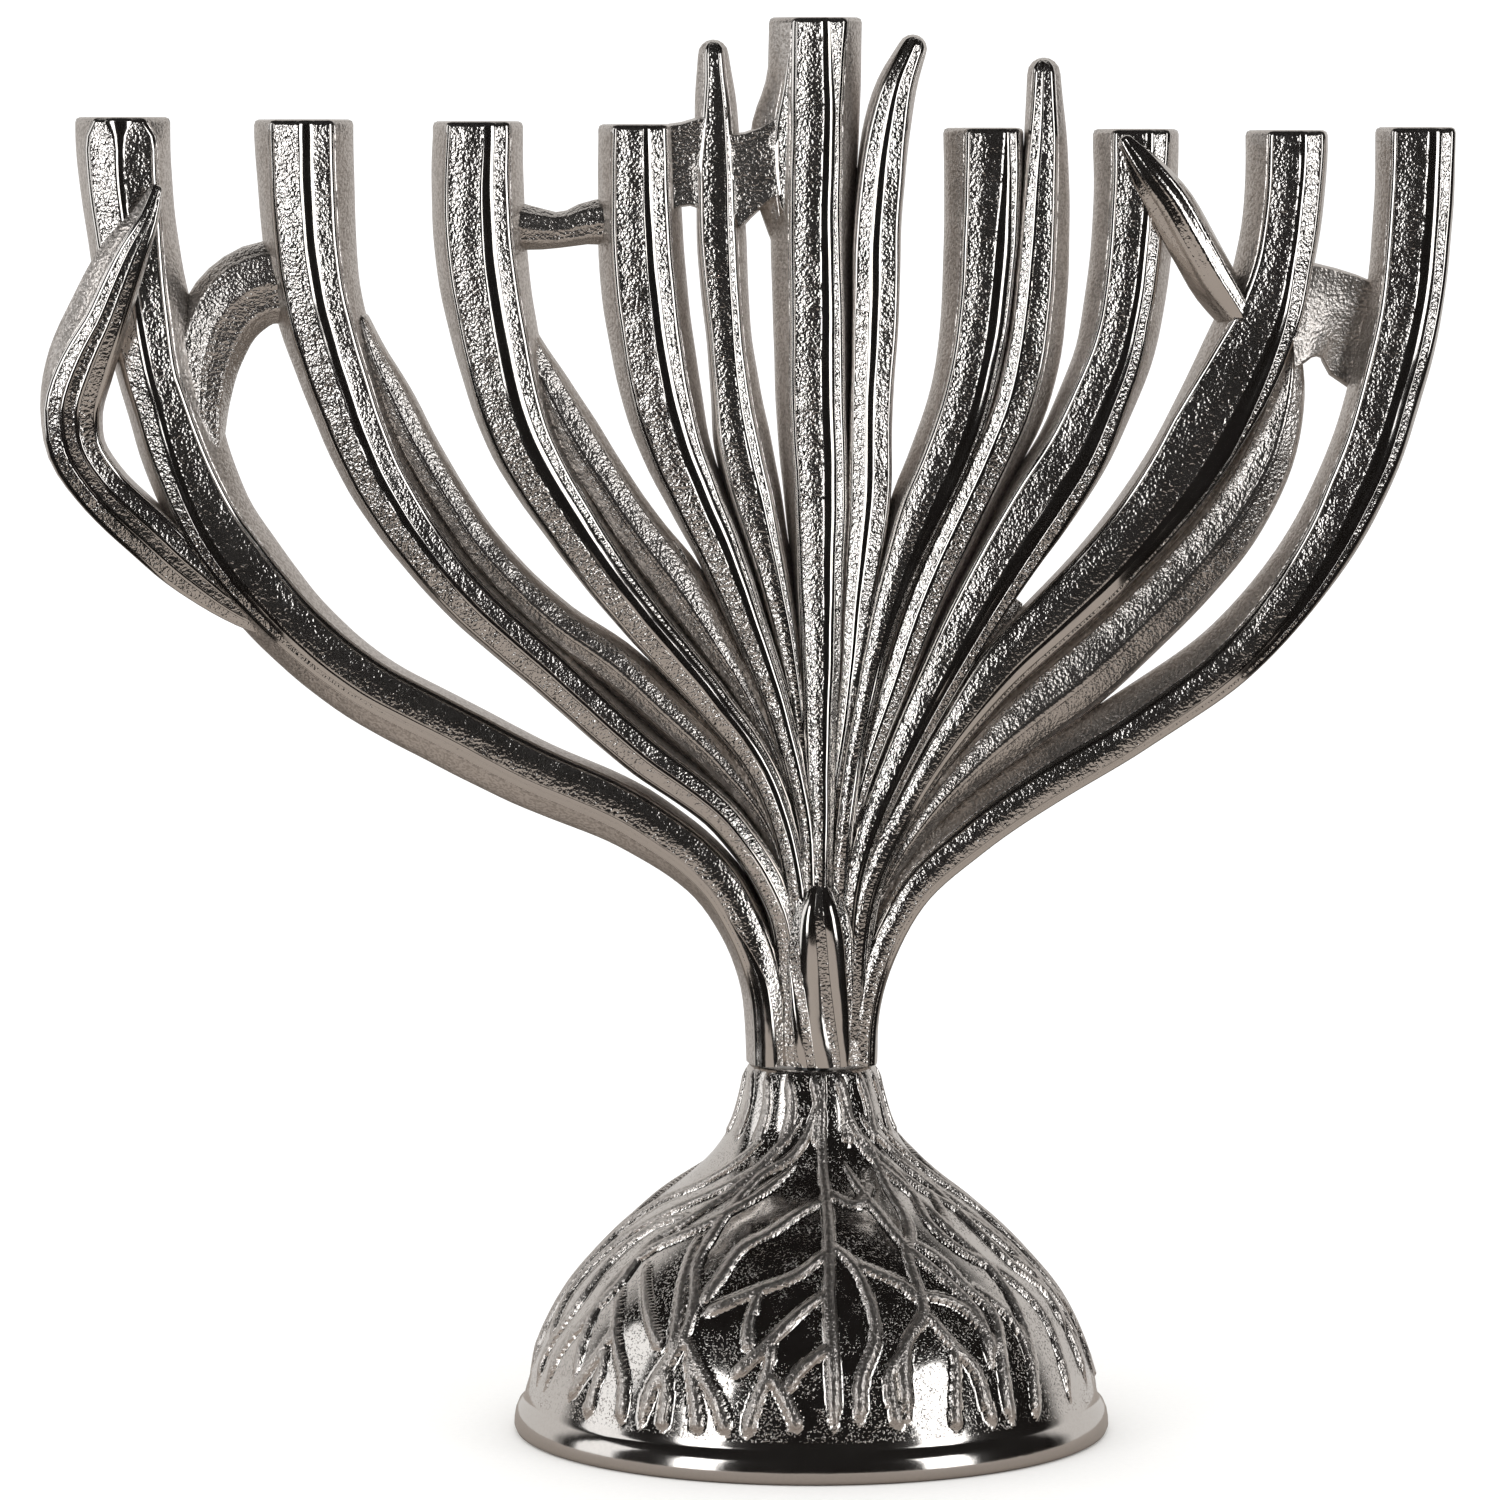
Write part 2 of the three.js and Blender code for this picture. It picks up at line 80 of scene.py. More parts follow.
def skin(name, rings, finish, closed_profile=False):
    """A mesh over rings[i, j], point j of ring i, in mm from the trunk's axis.
    finish[i, j] is (grain, satin, pits), each 0 for none and about 1 for full."""
    count, sides = rings.shape[:2]
    points = rings.reshape(-1, 3)
    finish = np.broadcast_to(finish, (count, sides, 3)).reshape(-1, 3)
    index = np.arange(count * sides).reshape(count, sides)
    here = index if closed_profile else index[:-1]
    there = np.roll(index, -1, axis=0) if closed_profile else index[1:]
    faces = np.stack([here, np.roll(here, -1, 1), np.roll(there, -1, 1), there], -1)

    middle = rings.mean(axis=1)
    across = walked(np.concatenate([rings, rings[:, :1]], axis=1))
    along = walked(rings[:, 0] if closed_profile else middle)
    rows = len(here)
    across_there = np.roll(across, -1, axis=0)[:rows]
    along_there = np.append(along[1:], along[-1] + 1)[:rows]
    u = np.stack([across[:rows, :-1], across[:rows, 1:],
                  across_there[:, 1:], across_there[:, :-1]], -1)
    v = np.stack([along[:rows], along[:rows], along_there, along_there], -1)[:, None]
    place = np.stack(np.broadcast_arrays(u, v), -1)
    faces, place = faces.reshape(-1, 4), place.reshape(-1, 4, 2)

    fans = np.zeros((0, 3), int)
    if not closed_profile:
        points = np.vstack([points, middle[0], middle[-1]])
        finish = np.vstack([finish, finish[index[0]].mean(0), finish[index[-1]].mean(0)])
        first, last = len(points) - 2, len(points) - 1
        fans = np.vstack([
            np.stack([np.full(sides, first), np.roll(index[0], -1), index[0]], -1),
            np.stack([np.full(sides, last), index[-1], np.roll(index[-1], -1)], -1),
        ])
    triangles = np.vstack([faces[:, [0, 1, 2]], faces[:, [0, 2, 3]], fans])
    fan_place = np.zeros((len(fans), 3, 2))
    if volume(points, triangles) < 0:
        faces, place, fans = faces[:, ::-1], place[:, ::-1], fans[:, ::-1]

    mesh = bpy.data.meshes.new(name)
    metres = points * MM + [TRUNK_X, 0, 0]
    mesh.from_pydata(metres.tolist(), [], faces.tolist() + fans.tolist())
    corners = np.concatenate([faces.ravel(), fans.ravel()])
    marks = mesh.color_attributes.new("finish", "FLOAT_COLOR", "CORNER")
    values = np.ones((len(corners), 4), np.float32)
    values[:, :3] = finish[corners]
    marks.data.foreach_set("color", values.ravel())
    uv = mesh.uv_layers.new(name="millimetres")
    flat = np.concatenate([place.reshape(-1, 2), fan_place.reshape(-1, 2)])
    uv.data.foreach_set("uv", flat.astype(np.float32).ravel())
    mesh.validate()
    mesh.shade_smooth()
    piece = bpy.data.objects.new(name, mesh)
    bpy.context.scene.collection.objects.link(piece)
    return piece


def smooth_path(stops, step):
    """Every column of stops drawn through its values as one smooth curve, at even steps in mm.
    Between two stops it is a cubic whose slopes at its ends are those of a parabola through the
    three nearest stops, with the straight distance between stops as its measure."""
    stops = np.array(stops, float)
    measure = walked(stops[:, :2])
    gaps = np.diff(measure)
    slopes = np.gradient(stops, measure, axis=0)
    wanted = np.linspace(0, measure[-1], max(6, int(round(measure[-1] / step)) + 1))
    k = np.clip(np.searchsorted(measure, wanted, side="right") - 1, 0, len(gaps) - 1)
    width = gaps[k][:, None]
    t = (wanted - measure[k])[:, None] / width
    return ((2 * t**3 - 3 * t**2 + 1) * stops[k] + (t**3 - 2 * t**2 + t) * width * slopes[k]
            + (3 * t**2 - 2 * t**3) * stops[k + 1] + (t**3 - t**2) * width * slopes[k + 1])


SAND_WANDER = 0.06  # mm


def as_cast(points):
    """Sand moulds are never quite true: each point moves by a sum of slow waves in x, y and z,
    12 to 30 mm long, times SAND_WANDER."""
    x, y, z = points[..., 0], points[..., 1], points[..., 2]
    wave = np.stack([
        np.sin(0.21 * z + 0.3 * y + 1.1) + 0.4 * np.sin(0.53 * z - 0.4 * x + 2.3),
        np.sin(0.27 * z + 0.29 * x) + 0.4 * np.sin(0.51 * x - 0.47 * z + 0.5),
        np.sin(0.23 * x + 0.3 * y + 0.9),
    ], -1)
    return points + SAND_WANDER * wave


print("a sand casting wanders by up to", round(1.4 * SAND_WANDER, 3), "mm in each direction")

# %% [markdown]
# ## The cross-section of a limb
# A limb was cast in a two-part mould, so it is widest at the parting line and its flanks slope
# away from there to a front face and a back face. Those faces are hollowed by long flutes. The
# flutes keep the grain of the sand, and everything that stands proud was ground and buffed. The
# section is written as a list of columns from the left parting line over the front to the right
# one, and the back repeats it in mirror image.

# %% The section of a limb
FLANK = [0.1, 0.3, 0.55, 0.8, 0.95]  # columns, as shares of the width of the flank
FLUTE = [0.05, 0.16, 0.32, 0.5, 0.68, 0.84, 0.95]
LAND = [0.3, 0.7]
RIDGE = 0.75  # mm of polished metal between a flank and the first flute
RIDGE_CREST, CREST_RISE = 0.35, 0.02  # the ridge is highest at this share, by so many mm
RIDGE_DROP, FLANK_DROP = 0.3, 0.45  # mm from the face down to the ridge's edge and the flank
LAND_RISE = 0.16  # height of a land as a share of its width
EDGE = 0.96  # a ridge stays inside this share of the half width
POLISHED, GRAINY, SATIN = (0, 0, 0), (1, 0, 0), (0.9, 1, 0)


def section(half_width, half_depth, sides, crown, scoop):
    """Columns (across, out) of a limb's outline in mm, and the finish of each column.
    sides holds the left and right side of each flute, from -1 to 1 across the limb. The face is
    a parabola that falls by crown times the half depth towards its edges. A flute lies below it
    by scoop times its width times 1 - (2 * share - 1) ** 4, which gives it a broad floor and
    brisk sides. A land is a low parabola on the face. A flank rises like share ** 0.7."""
    ridge = RIDGE / half_width
    left = np.maximum(sides[:, 0] - ridge, -EDGE)
    right = np.minimum(sides[:, -1] + ridge, EDGE)
    centre, half = (left + right) / 2, (right - left) / 2
    columns, finish = [], []

    def face(a):
        return half_depth * (1 - crown * ((a - centre) / half) ** 2)

    def add(a, out, kind):
        columns.append(np.stack([a * half_width, out], -1))
        finish.append(kind)

    for share in FLANK:
        add(-1 + (left + 1) * share, (face(left) - FLANK_DROP) * share**0.7, SATIN)
    add(left, face(left) - RIDGE_DROP, POLISHED)
    add(left + RIDGE_CREST * (sides[:, 0] - left), face(left) + CREST_RISE, POLISHED)
    flutes = sides.shape[1] // 2
    for k in range(flutes):
        begin, end = sides[:, 2 * k], sides[:, 2 * k + 1]
        wide = (end - begin) * half_width
        add(begin, face(begin), POLISHED)
        for share in FLUTE:
            a = begin + (end - begin) * share
            deep = scoop * wide * (1 - (2 * share - 1) ** 4)
            add(a, face(a) - deep, GRAINY)
        add(end, face(end), POLISHED)
        if k + 1 < flutes:
            gap = sides[:, 2 * k + 2] - end
            for share in LAND:
                a = end + gap * share
                rise = LAND_RISE * gap * half_width * 4 * share * (1 - share)
                add(a, face(a) + rise, POLISHED)
    add(right - RIDGE_CREST * (right - sides[:, -1]), face(right) + CREST_RISE, POLISHED)
    add(right, face(right) - RIDGE_DROP, POLISHED)
    for share in FLANK[::-1]:
        add(1 - (1 - right) * share, (face(right) - FLANK_DROP) * share**0.7, SATIN)

    front = np.stack(columns, 1)
    zero = np.zeros_like(half_width)
    left_seam = np.stack([-half_width, zero], -1)[:, None]
    right_seam = np.stack([half_width, zero], -1)[:, None]
    back = front[:, ::-1] * [1, -1]
    outline = np.concatenate([left_seam, front, right_seam, back], axis=1)
    kinds = np.array([SATIN] + finish + [SATIN] + finish[::-1], float)
    return outline, kinds


print("each flute has", len(FLUTE), "columns, each flank", len(FLANK))

# %% [markdown]
# ## Limbs
# Each limb follows stops written as [x, z, half width, half depth, y] in millimetres, from the
# trunk upwards, with y left out where it is 0. They are the sizes of the CAD limbs. A second
# table says where the flutes lie: at a height, the left and right side of each flute as shares of
# the half width. Between the heights the sides glide from one row to the next, which is how the
# polished lands wander across the tubes and run together in the trunk.

# %% Stops of the limbs
LIMBS = {
    "far_left": [
        [-7, 63.5, 4.2, 8.6], [-7.2, 70, 4.2, 8.9], [-8.2, 78, 4.2, 8.9], [-10.7, 85, 4.3, 8.6],
        [-16, 94, 4.8, 8], [-29, 104.3, 5.5, 7.2], [-49.5, 113.5, 6, 7], [-62, 120, 6.1, 7],
        [-77.5, 128.7, 6.2, 7], [-88, 138, 6.5, 7], [-95.5, 147, 7, 7.2], [-101.5, 156, 7.1, 7.3],
        [-105.5, 165.5, 7.4, 7.5], [-108.5, 176, 7.6, 7.5], [-111, 185, 7.7, 7.6],
        [-113.2, 195, 7.6, 7.6], [-115, 206, 7.6, 7.6], [-116, 215, 7.9, 7.7],
        [-116.2, 225, 8.1, 7.8]],
    "left_outer": [
        [-3.5, 68, 3.5, 7.4], [-5, 90, 3.1, 8.9], [-14, 104.5, 3.3, 8.2], [-29.5, 117, 4, 7.5],
        [-43, 129, 4.3, 7], [-61, 145.9, 4.9, 7], [-72.5, 162, 5.9, 7], [-79, 178, 6.8, 7.2],
        [-83.7, 194, 7.6, 7.5], [-85.3, 210, 8.1, 7.8], [-85.8, 225, 8.5, 8]],
    "left_outer_rib": [
        [-3, 90, 2.5, 6.8], [-8, 105, 3, 6], [-16, 115, 3.8, 5.4], [-24.5, 123, 4.1, 5.2],
        [-33.5, 131.3, 4.3, 5], [-43, 138, 4, 4.8], [-50, 144.5, 3.6, 4.6],
        [-57, 152.5, 3.5, 4.4], [-62.5, 161, 3.5, 4.2], [-67.4, 169.5, 3.6, 4.2],
        [-70.8, 176.5, 3.4, 4.2], [-74, 183.5, 2.4, 4], [-76, 189.5, 1.4, 3.4]],
    "left_middle": [
        [-2.2, 68, 3, 7.8], [-2.8, 97, 2.4, 9], [-9, 115, 2.8, 8.1], [-17, 125.5, 3.3, 7.4],
        [-28, 138.5, 4.1, 7.2], [-39.2, 153.3, 5, 7], [-48.7, 169.5, 6.2, 7.1],
        [-53.4, 186, 7.3, 7.3], [-55.9, 201.5, 7.8, 7.5], [-56.5, 212, 7.8, 7.5],
        [-56.2, 225, 7.5, 7.5]],
    "left_middle_rib": [
        [-2, 100, 1.5, 6.5], [-6, 116.3, 2.2, 6], [-11, 126.2, 3, 5.4], [-16.5, 135, 3.9, 5.2],
        [-22.7, 144.6, 4.9, 5], [-29.7, 153.7, 4.6, 4.8], [-34.8, 161.2, 4.6, 4.5],
        [-40.2, 169.6, 4.8, 4.2], [-44.8, 178, 4, 3.8], [-48.8, 187, 2.4, 3.4],
        [-51, 194, 1.2, 3]],
    "left_inner": [
        [-1.2, 68, 3, 7.8], [-1.5, 108, 2, 8.7], [-6, 125.5, 2.6, 7.8], [-9.3, 134.6, 3.2, 7.5],
        [-15, 149.6, 4.3, 7.2], [-20, 160.6, 5.2, 7], [-23.2, 168.7, 6, 7],
        [-25.5, 177.2, 6.8, 7], [-27.1, 185.6, 7.1, 7], [-28.5, 197, 7.3, 7.1],
        [-29.2, 210, 7, 7], [-29.5, 225, 6.5, 7]],
    "twig_left": [
        [-0.8, 110, 1.2, 6.5], [-2.5, 125.2, 1.6, 6.5], [-5.5, 142.6, 2.8, 6],
        [-7.5, 151.1, 3.6, 5.8], [-9.7, 159.8, 4.6, 5.6], [-11.7, 168.8, 4.9, 5.4],
        [-12.9, 176.9, 4.3, 5.2], [-13.9, 185, 3.9, 5], [-15.2, 202, 4.2, 5],
        [-15.8, 215, 3.9, 4.8], [-16.3, 227.5, 3.4, 4], [-16.7, 234.2, 2.6, 3]],
    "shamash": [
        [1, 68, 3, 7.8], [1.4, 100, 2.4, 9.2], [1.4, 125, 3.2, 8.2], [1.2, 142, 4.2, 7.6],
        [0.7, 159, 5.4, 7.3], [0.1, 176, 6.3, 7.2], [0, 193, 6.7, 7.2], [0, 210, 7.2, 7.3],
        [0.3, 225, 7.8, 7.5], [0.5, 242, 7.8, 7.6]],
    "twig_middle": [
        [3, 105, 1.7, 7], [5.9, 125, 2, 6.6], [7.7, 142, 2.8, 6.2], [9.5, 159, 3.8, 5.8],
        [10, 176, 3.7, 5.5], [10.7, 193, 4.1, 5.3], [11.2, 210, 4.1, 5.2], [12.6, 222, 4, 5],
        [14.4, 229.5, 3.4, 4.4], [16.8, 235.2, 2.5, 3.2]],
    "right_inner": [
        [4.5, 68, 3, 7.6], [5.5, 105, 2, 8.5], [8.7, 125, 2.3, 7.7], [11.6, 138.2, 2.9, 7.2],
        [14.5, 147.7, 3.7, 7], [18, 158, 4.9, 7], [21.3, 165.5, 5.2, 7], [24.6, 174.5, 5.4, 7],
        [26.7, 184, 5.6, 7], [28, 195, 6, 7], [28.7, 207, 6.5, 7], [28.9, 225, 6.9, 7]],
    "twig_right": [
        [5.5, 100, 1.5, 7], [9, 113, 2.2, 6.8], [13, 124.5, 2.8, 6.5], [19, 140.7, 3.7, 6.2],
        [26.8, 157.5, 4.2, 6], [31, 166, 4.3, 5.8], [34.8, 174.5, 4.7, 5.6],
        [37.2, 184, 4.8, 5.4], [38.4, 193, 4.7, 5.3], [39.2, 208, 4.2, 5], [39.3, 222, 3.5, 4.2],
        [39, 231, 2.8, 3.2]],
    "right_middle": [
        [5.5, 68, 3, 7.4], [8.5, 100, 2.4, 8.5], [14.8, 115.5, 3, 7.6], [23.6, 133.4, 4.2, 7.2],
        [33.8, 151, 5.5, 7], [39, 159.3, 6.2, 7], [44.3, 167.8, 6.4, 7], [48, 176, 6.5, 7],
        [50.7, 183, 6.6, 7], [52.7, 192, 6.8, 7.1], [54, 203, 6.9, 7.2], [54.5, 213, 7.1, 7.2],
        [54.5, 225, 7.4, 7.2]],
    "right_outer": [
        [6.8, 68, 3, 8.4], [10, 95, 2.7, 8.4], [16, 107.3, 2.3, 7.6], [24.7, 121.3, 3.2, 7.3],
        [32, 131, 4.3, 7.1], [40, 138.8, 4.7, 7], [48.5, 147.2, 5.2, 7], [56, 155.7, 5.7, 7],
        [62.5, 164.5, 6.3, 7], [68, 174, 6.9, 7], [72.6, 183, 7.2, 7], [76.3, 192, 6.9, 7.1],
        [78.6, 202, 6.7, 7.2], [79.7, 212, 6.8, 7.2], [80, 225, 7.1, 7.2]],
    "right_outer_rib": [
        [8, 85, 2.5, 7], [14, 98, 2.7, 6.4], [20.8, 107.8, 3.4, 6], [26.7, 114.2, 4.4, 5.8],
        [35.3, 122, 5.9, 5.6], [44.3, 129.3, 6.6, 5.4], [53.7, 137.7, 6.5, 5.2],
        [63.1, 147.3, 6.4, 5], [71, 157.2, 6.1, 4.8], [76.6, 167.2, 5.3, 4.6],
        [79.6, 177, 3.8, 4.2], [80.6, 184, 2.2, 3.6]],
    "crotch_left": [
        [-15, 131, 1.5, 3], [-20.5, 143, 1.8, 3], [-23, 149.5, 1.8, 3], [-24, 152, 1, 2]],
    "crotch_right": [
        [26, 128, 1.6, 3], [31, 136, 1.8, 3], [34.2, 140.6, 1.4, 2.4], [35.2, 142, 0.7, 1.4]],
    "far_right": [
        [7.3, 63.5, 3.9, 8.4], [7.5, 70, 3.9, 8.6], [9, 78, 3.8, 8.6], [11.6, 85, 3.9, 8.3],
        [16.2, 93.8, 4.5, 7.8], [26.3, 103.4, 5, 7.2], [39.4, 112.6, 5.3, 7], [53.5, 121.2, 5.3, 7],
        [71.2, 133.7, 5.4, 7], [79.2, 142.2, 5.6, 7], [85.4, 150.7, 5.8, 7], [90.1, 159, 6, 7],
        [93.9, 167.7, 6.2, 7], [96.4, 176, 6.3, 7], [98.5, 184.6, 6.5, 7.1],
        [100.1, 193, 6.6, 7.1], [101.2, 205, 6.7, 7.2], [101.7, 225, 6.7, 7.2]],
    "trunk": [
        [1.2, 63.5, 6.2, 9.3], [1.2, 65, 6.4, 9.5], [1.2, 72, 6.3, 10], [1.4, 79, 6, 10.5],
        [1.5, 86, 5.6, 11], [1.5, 90, 4.8, 11.1], [1.4, 93, 3.4, 10.2], [1.4, 95.5, 1.8, 8]],
    "leaf_left": [
        [-88, 136.5, 1.6, 3, 0], [-96, 140.2, 2.6, 4, -0.5], [-104.2, 146.4, 3.9, 4.6, -1],
        [-112, 153.6, 4.6, 5.2, -1.5], [-120.4, 161.8, 4.7, 5.5, -2],
        [-124.1, 167.8, 5, 5.2, -3.2], [-124.8, 174, 5.3, 4.8, -4.4],
        [-123, 182.6, 5.8, 4.2, -6.2], [-119.6, 191.3, 5.2, 3.3, -7.8],
        [-115, 201.5, 3.9, 2.5, -9], [-111.5, 207.5, 2.3, 1.8, -9], [-110, 211.4, 1.3, 1.2, -8.7]],
    "leaf_right": [
        [74.4, 186, 2, 4, 0], [71.6, 190.4, 3.2, 4.8, -1.4], [68.2, 195.2, 4, 5, -3],
        [64.5, 201.4, 4.1, 4.2, -5], [60.1, 209.1, 3.9, 3, -7.2], [55.5, 215.5, 2.8, 1.8, -8.4],
        [52.6, 219.5, 1.4, 1.2, -8.2]],
    "bridge_left": [
        [-52, 205.8, 4.2, 3.2], [-46.5, 205, 3.6, 3], [-42, 204.9, 3, 2.8], [-38, 206, 3.6, 3],
        [-32, 206.3, 4.4, 3.2]],
    "bridge_far_left": [
        [-103, 160, 1.4, 3], [-102.6, 168, 3, 4], [-103, 176, 4.6, 4.2],
        [-102.2, 184, 6, 4.4], [-98.8, 191.6, 6.8, 4.4], [-93.5, 195.6, 7, 4.4],
        [-85, 196, 7.2, 4.4]],
    "web_left": [
        [-28, 214.5, 8.6, 4.4], [-22, 215.8, 7, 4], [-19, 216, 7.8, 4], [-14.5, 216, 9, 4.2]],
    "web_centre": [
        [-15, 213.4, 9, 4.2], [-11.6, 214.6, 7, 4], [-8.4, 216, 6, 4], [-3, 217.5, 7.6, 4.2]],
    "flare": [
        [-3.6, 200, 2, 4], [-5, 209, 4, 4.6], [-5.8, 216, 4.8, 4.8], [-5.7, 222, 4.5, 5],
        [-4.4, 229, 3.6, 5.4], [-3.8, 236, 3.2, 5.6]],
    "bridge_right": [
        [80.5, 191, 9.6, 3, -3], [85, 191.2, 7.9, 3, -1.6], [89.5, 190, 7.8, 3, 0.4],
        [94, 187, 9.8, 3, 2.6], [98.5, 187, 11, 3, 4]],
}
TUBE_TOPS = {
    "far_left": 223.8, "left_outer": 223.4, "left_middle": 223.1, "left_inner": 222.6,
    "shamash": 240.5, "right_inner": 222, "right_middle": 221.8, "right_outer": 221.6,
    "far_right": 222.1,
}
BORE_RADIUS, BORE_DEPTH = 4.9, 16
print(len(LIMBS), "limbs,", len(TUBE_TOPS), "of them candle tubes")

# %% [markdown]
# ## Flutes
# The hollows between the polished lands are what make a tube read as bark. On the real casting
# they were part of the pattern pressed into the sand, so no grinding wheel reached them. They
# could be cut afterwards with Boolean tools, but then their edges would be ragged and the finish
# would have to be painted on. Here they are columns of the section itself, so each flute and its
# grain stay together.

# %% Where the flutes lie
# Each row is a height in mm, then the left and right side of each flute. One row is enough
# where the flutes keep their places.
FLUTES = {
    "far_left": [[64, -0.5, -0.48, 0.3, 0.5], [78, -0.5, -0.48, 0.1, 0.6],
                 [88, -0.45, -0.42, -0.3, 0.7], [118, -0.22, -0.18, -0.04, 0.78],
                 [150, -0.6, -0.4, -0.2, 0.6], [180, -0.68, -0.3, -0.1, 0.3],
                 [205, -0.66, -0.1, 0.05, 0.66], [220, -0.66, -0.08, 0.08, 0.68],
                 [223.8, -0.45, -0.35, 0.3, 0.4]],
    "left_outer": [[70, -0.6, 0.0, 0.2, 0.6], [130, -0.68, -0.08, 0.08, 0.62],
                   [180, -0.62, -0.04, 0.24, 0.6], [223.4, -0.57, -0.04, 0.22, 0.56]],
    "left_outer_rib": [[90, -0.6, -0.1, 0.1, 0.7]],
    "left_middle": [[70, -0.7, 0.0, 0.4, 0.6], [130, -0.74, -0.05, 0.6, 0.7],
                    [180, -0.68, 0.0, 0.38, 0.66], [223.1, -0.6, 0.18, 0.4, 0.64]],
    "left_middle_rib": [[100, -0.6, -0.1, 0.1, 0.7]],
    "left_inner": [[70, -0.6, 0.1, 0.6, 0.66], [150, -0.64, 0.1, 0.6, 0.68],
                   [180, -0.6, 0.1, 0.4, 0.62], [222.6, -0.55, 0.15, 0.32, 0.66]],
    "twig_left": [[110, -0.6, 0.3, 0.5, 0.6], [180, -0.7, 0.1, 0.2, 0.45],
                  [215, -0.75, 0.3, 0.4, 0.5], [230, -0.3, 0.3, 0.4, 0.44]],
    "shamash": [[70, -0.7, 0.2, 0.6, 0.9], [130, -0.7, 0.15, 0.6, 0.9],
                [165, -0.5, 0.25, 0.62, 0.8], [225, -0.42, 0.2, 0.45, 0.5],
                [242, -0.4, 0.14, 0.3, 0.62]],
    "twig_middle": [[105, -0.6, -0.1, 0.2, 0.8], [190, -0.85, -0.3, 0.15, 0.8],
                    [215, -0.7, -0.2, 0.2, 0.75], [237, -0.5, -0.1, 0.1, 0.5]],
    "right_inner": [[70, -0.6, 0.3, 0.7, 0.75], [160, -0.5, 0.35, 0.8, 0.84],
                    [200, -0.42, 0.35, 0.8, 0.85], [222, -0.4, 0.5, 0.6, 0.75]],
    "twig_right": [[100, -0.7, -0.1, 0.1, 0.6], [190, -0.85, -0.55, -0.42, 0.28],
                   [215, -0.8, -0.45, -0.3, 0.3], [233, -0.4, -0.1, 0.0, 0.4]],
    "right_middle": [[70, -0.7, 0.1, 0.5, 0.8], [150, -0.75, 0.1, 0.55, 0.88],
                     [190, -0.52, 0.12, 0.36, 0.55], [221.8, -0.5, 0.2, 0.36, 0.66]],
    "right_outer": [[70, -0.7, 0.3, 0.6, 0.8], [170, -0.8, 0.38, 0.84, 0.88],
                    [200, -0.42, 0.27, 0.42, 0.78], [221.6, -0.42, 0.27, 0.42, 0.78]],
    "right_outer_rib": [[85, -0.6, 0.1, 0.3, 0.8]],
    "far_right": [[70, -0.2, 0.6, 0.7, 0.74], [120, -0.1, 0.72, 0.76, 0.8],
                  [160, -0.62, 0.1, 0.55, 0.72], [222.1, -0.57, 0.24, 0.56, 0.82]],
    "trunk": [[63.5, -0.9, -0.5, -0.31, -0.07, 0.41, 0.6, 0.8, 0.9],
              [72.5, -0.93, -0.75, -0.56, -0.29, 0.08, 0.4, 0.78, 0.9],
              [81, -0.95, -0.93, -0.9, -0.58, -0.08, 0.22, 0.7, 0.88],
              [90, -0.96, -0.95, -0.93, -0.66, -0.22, 0.12, 0.62, 0.9]],
    "crotch_left": [[130, -0.7, 0.7]],
    "crotch_right": [[128, -0.7, 0.7]],
    "leaf_left": [[144, -0.8, -0.35, -0.2, 0.2, 0.35, 0.8],
                  [175, -0.7, -0.3, -0.16, 0.18, 0.32, 0.78],
                  [190, -0.2, 0.08, 0.18, 0.42, 0.52, 0.8],
                  [213, -0.05, 0.12, 0.2, 0.4, 0.48, 0.7]],
    "leaf_right": [[189, -0.3, 0.1, 0.3, 0.6]],
    "bridge_left": [[190, -0.5, -0.1, 0.1, 0.5]],
    "bridge_far_left": [[174, -0.6, -0.1, 0.1, 0.6]],
    "web_left": [[200, -0.9, 0.9]],
    "web_centre": [[200, -0.9, 0.9]],
    "flare": [[200, 0.0, 0.5, 0.55, 0.9]],
    "bridge_right": [[180, -0.9, 0.9]],
}

# %% [markdown]
# ## A limb from its section
# A limb is a profile carried along a path, the way a curve with a bevel object works. A curve
# keeps one profile for its whole length, though, and these limbs swell, and their flutes wander.
# So the sweep is written out: one ring of the section for every couple of millimetres, square to
# the path. The tube tops were faced flat on a lathe or a belt and then bored for candles. A free
# tip, such as a twig's, is rounded with four rings that shrink. The ribs and webs between the
# tubes were too deep for the wheel and stay as sandy as the mould left them.

# %% Sweeping a limb
STEP = 2.2  # mm between rings
WEBS = ("web_left", "web_centre", "bridge_right", "crotch_left", "crotch_right")
RIBS = ("left_outer_rib", "left_middle_rib", "right_outer_rib")
BRIDGES = ("bridge_left", "bridge_far_left")
LEAVES = ("leaf_left", "leaf_right")
FREE_ENDS = RIBS + LEAVES + ("twig_left", "twig_middle", "twig_right")
CAP_TURNS = np.radians([25, 48, 68, 84])[:, None, None]
WEB_FACE, RIB_FACE, TUBE_FACE = (0.05, 0.02), (0.5, 0.06), (0.22, 0.06)  # crown and scoop
RIM_FINISH, RIB_FINISH = (0.15, 0.5, 0), (0.5, 0.4, 0)
WHOLE_FINISH = dict.fromkeys(WEBS + BRIDGES, (1.4, 0.3, 0))  # straight from the sand
WHOLE_FINISH.update(bridge_right=(0.8, 0.9, 0), leaf_right=(0.3, 0, 0))  # rubbed, and buffed
LAST_RING = 0.9  # mm below a tube's top
LEVEL_FROM, LEVEL_OVER = 22, 20  # mm below the top where rings start to level out, over so many
RIM_ROUND, RIM_DROP, RIM_FLAT = 0.22, 0.26, 0.8  # mm in from the skin, down, and in again


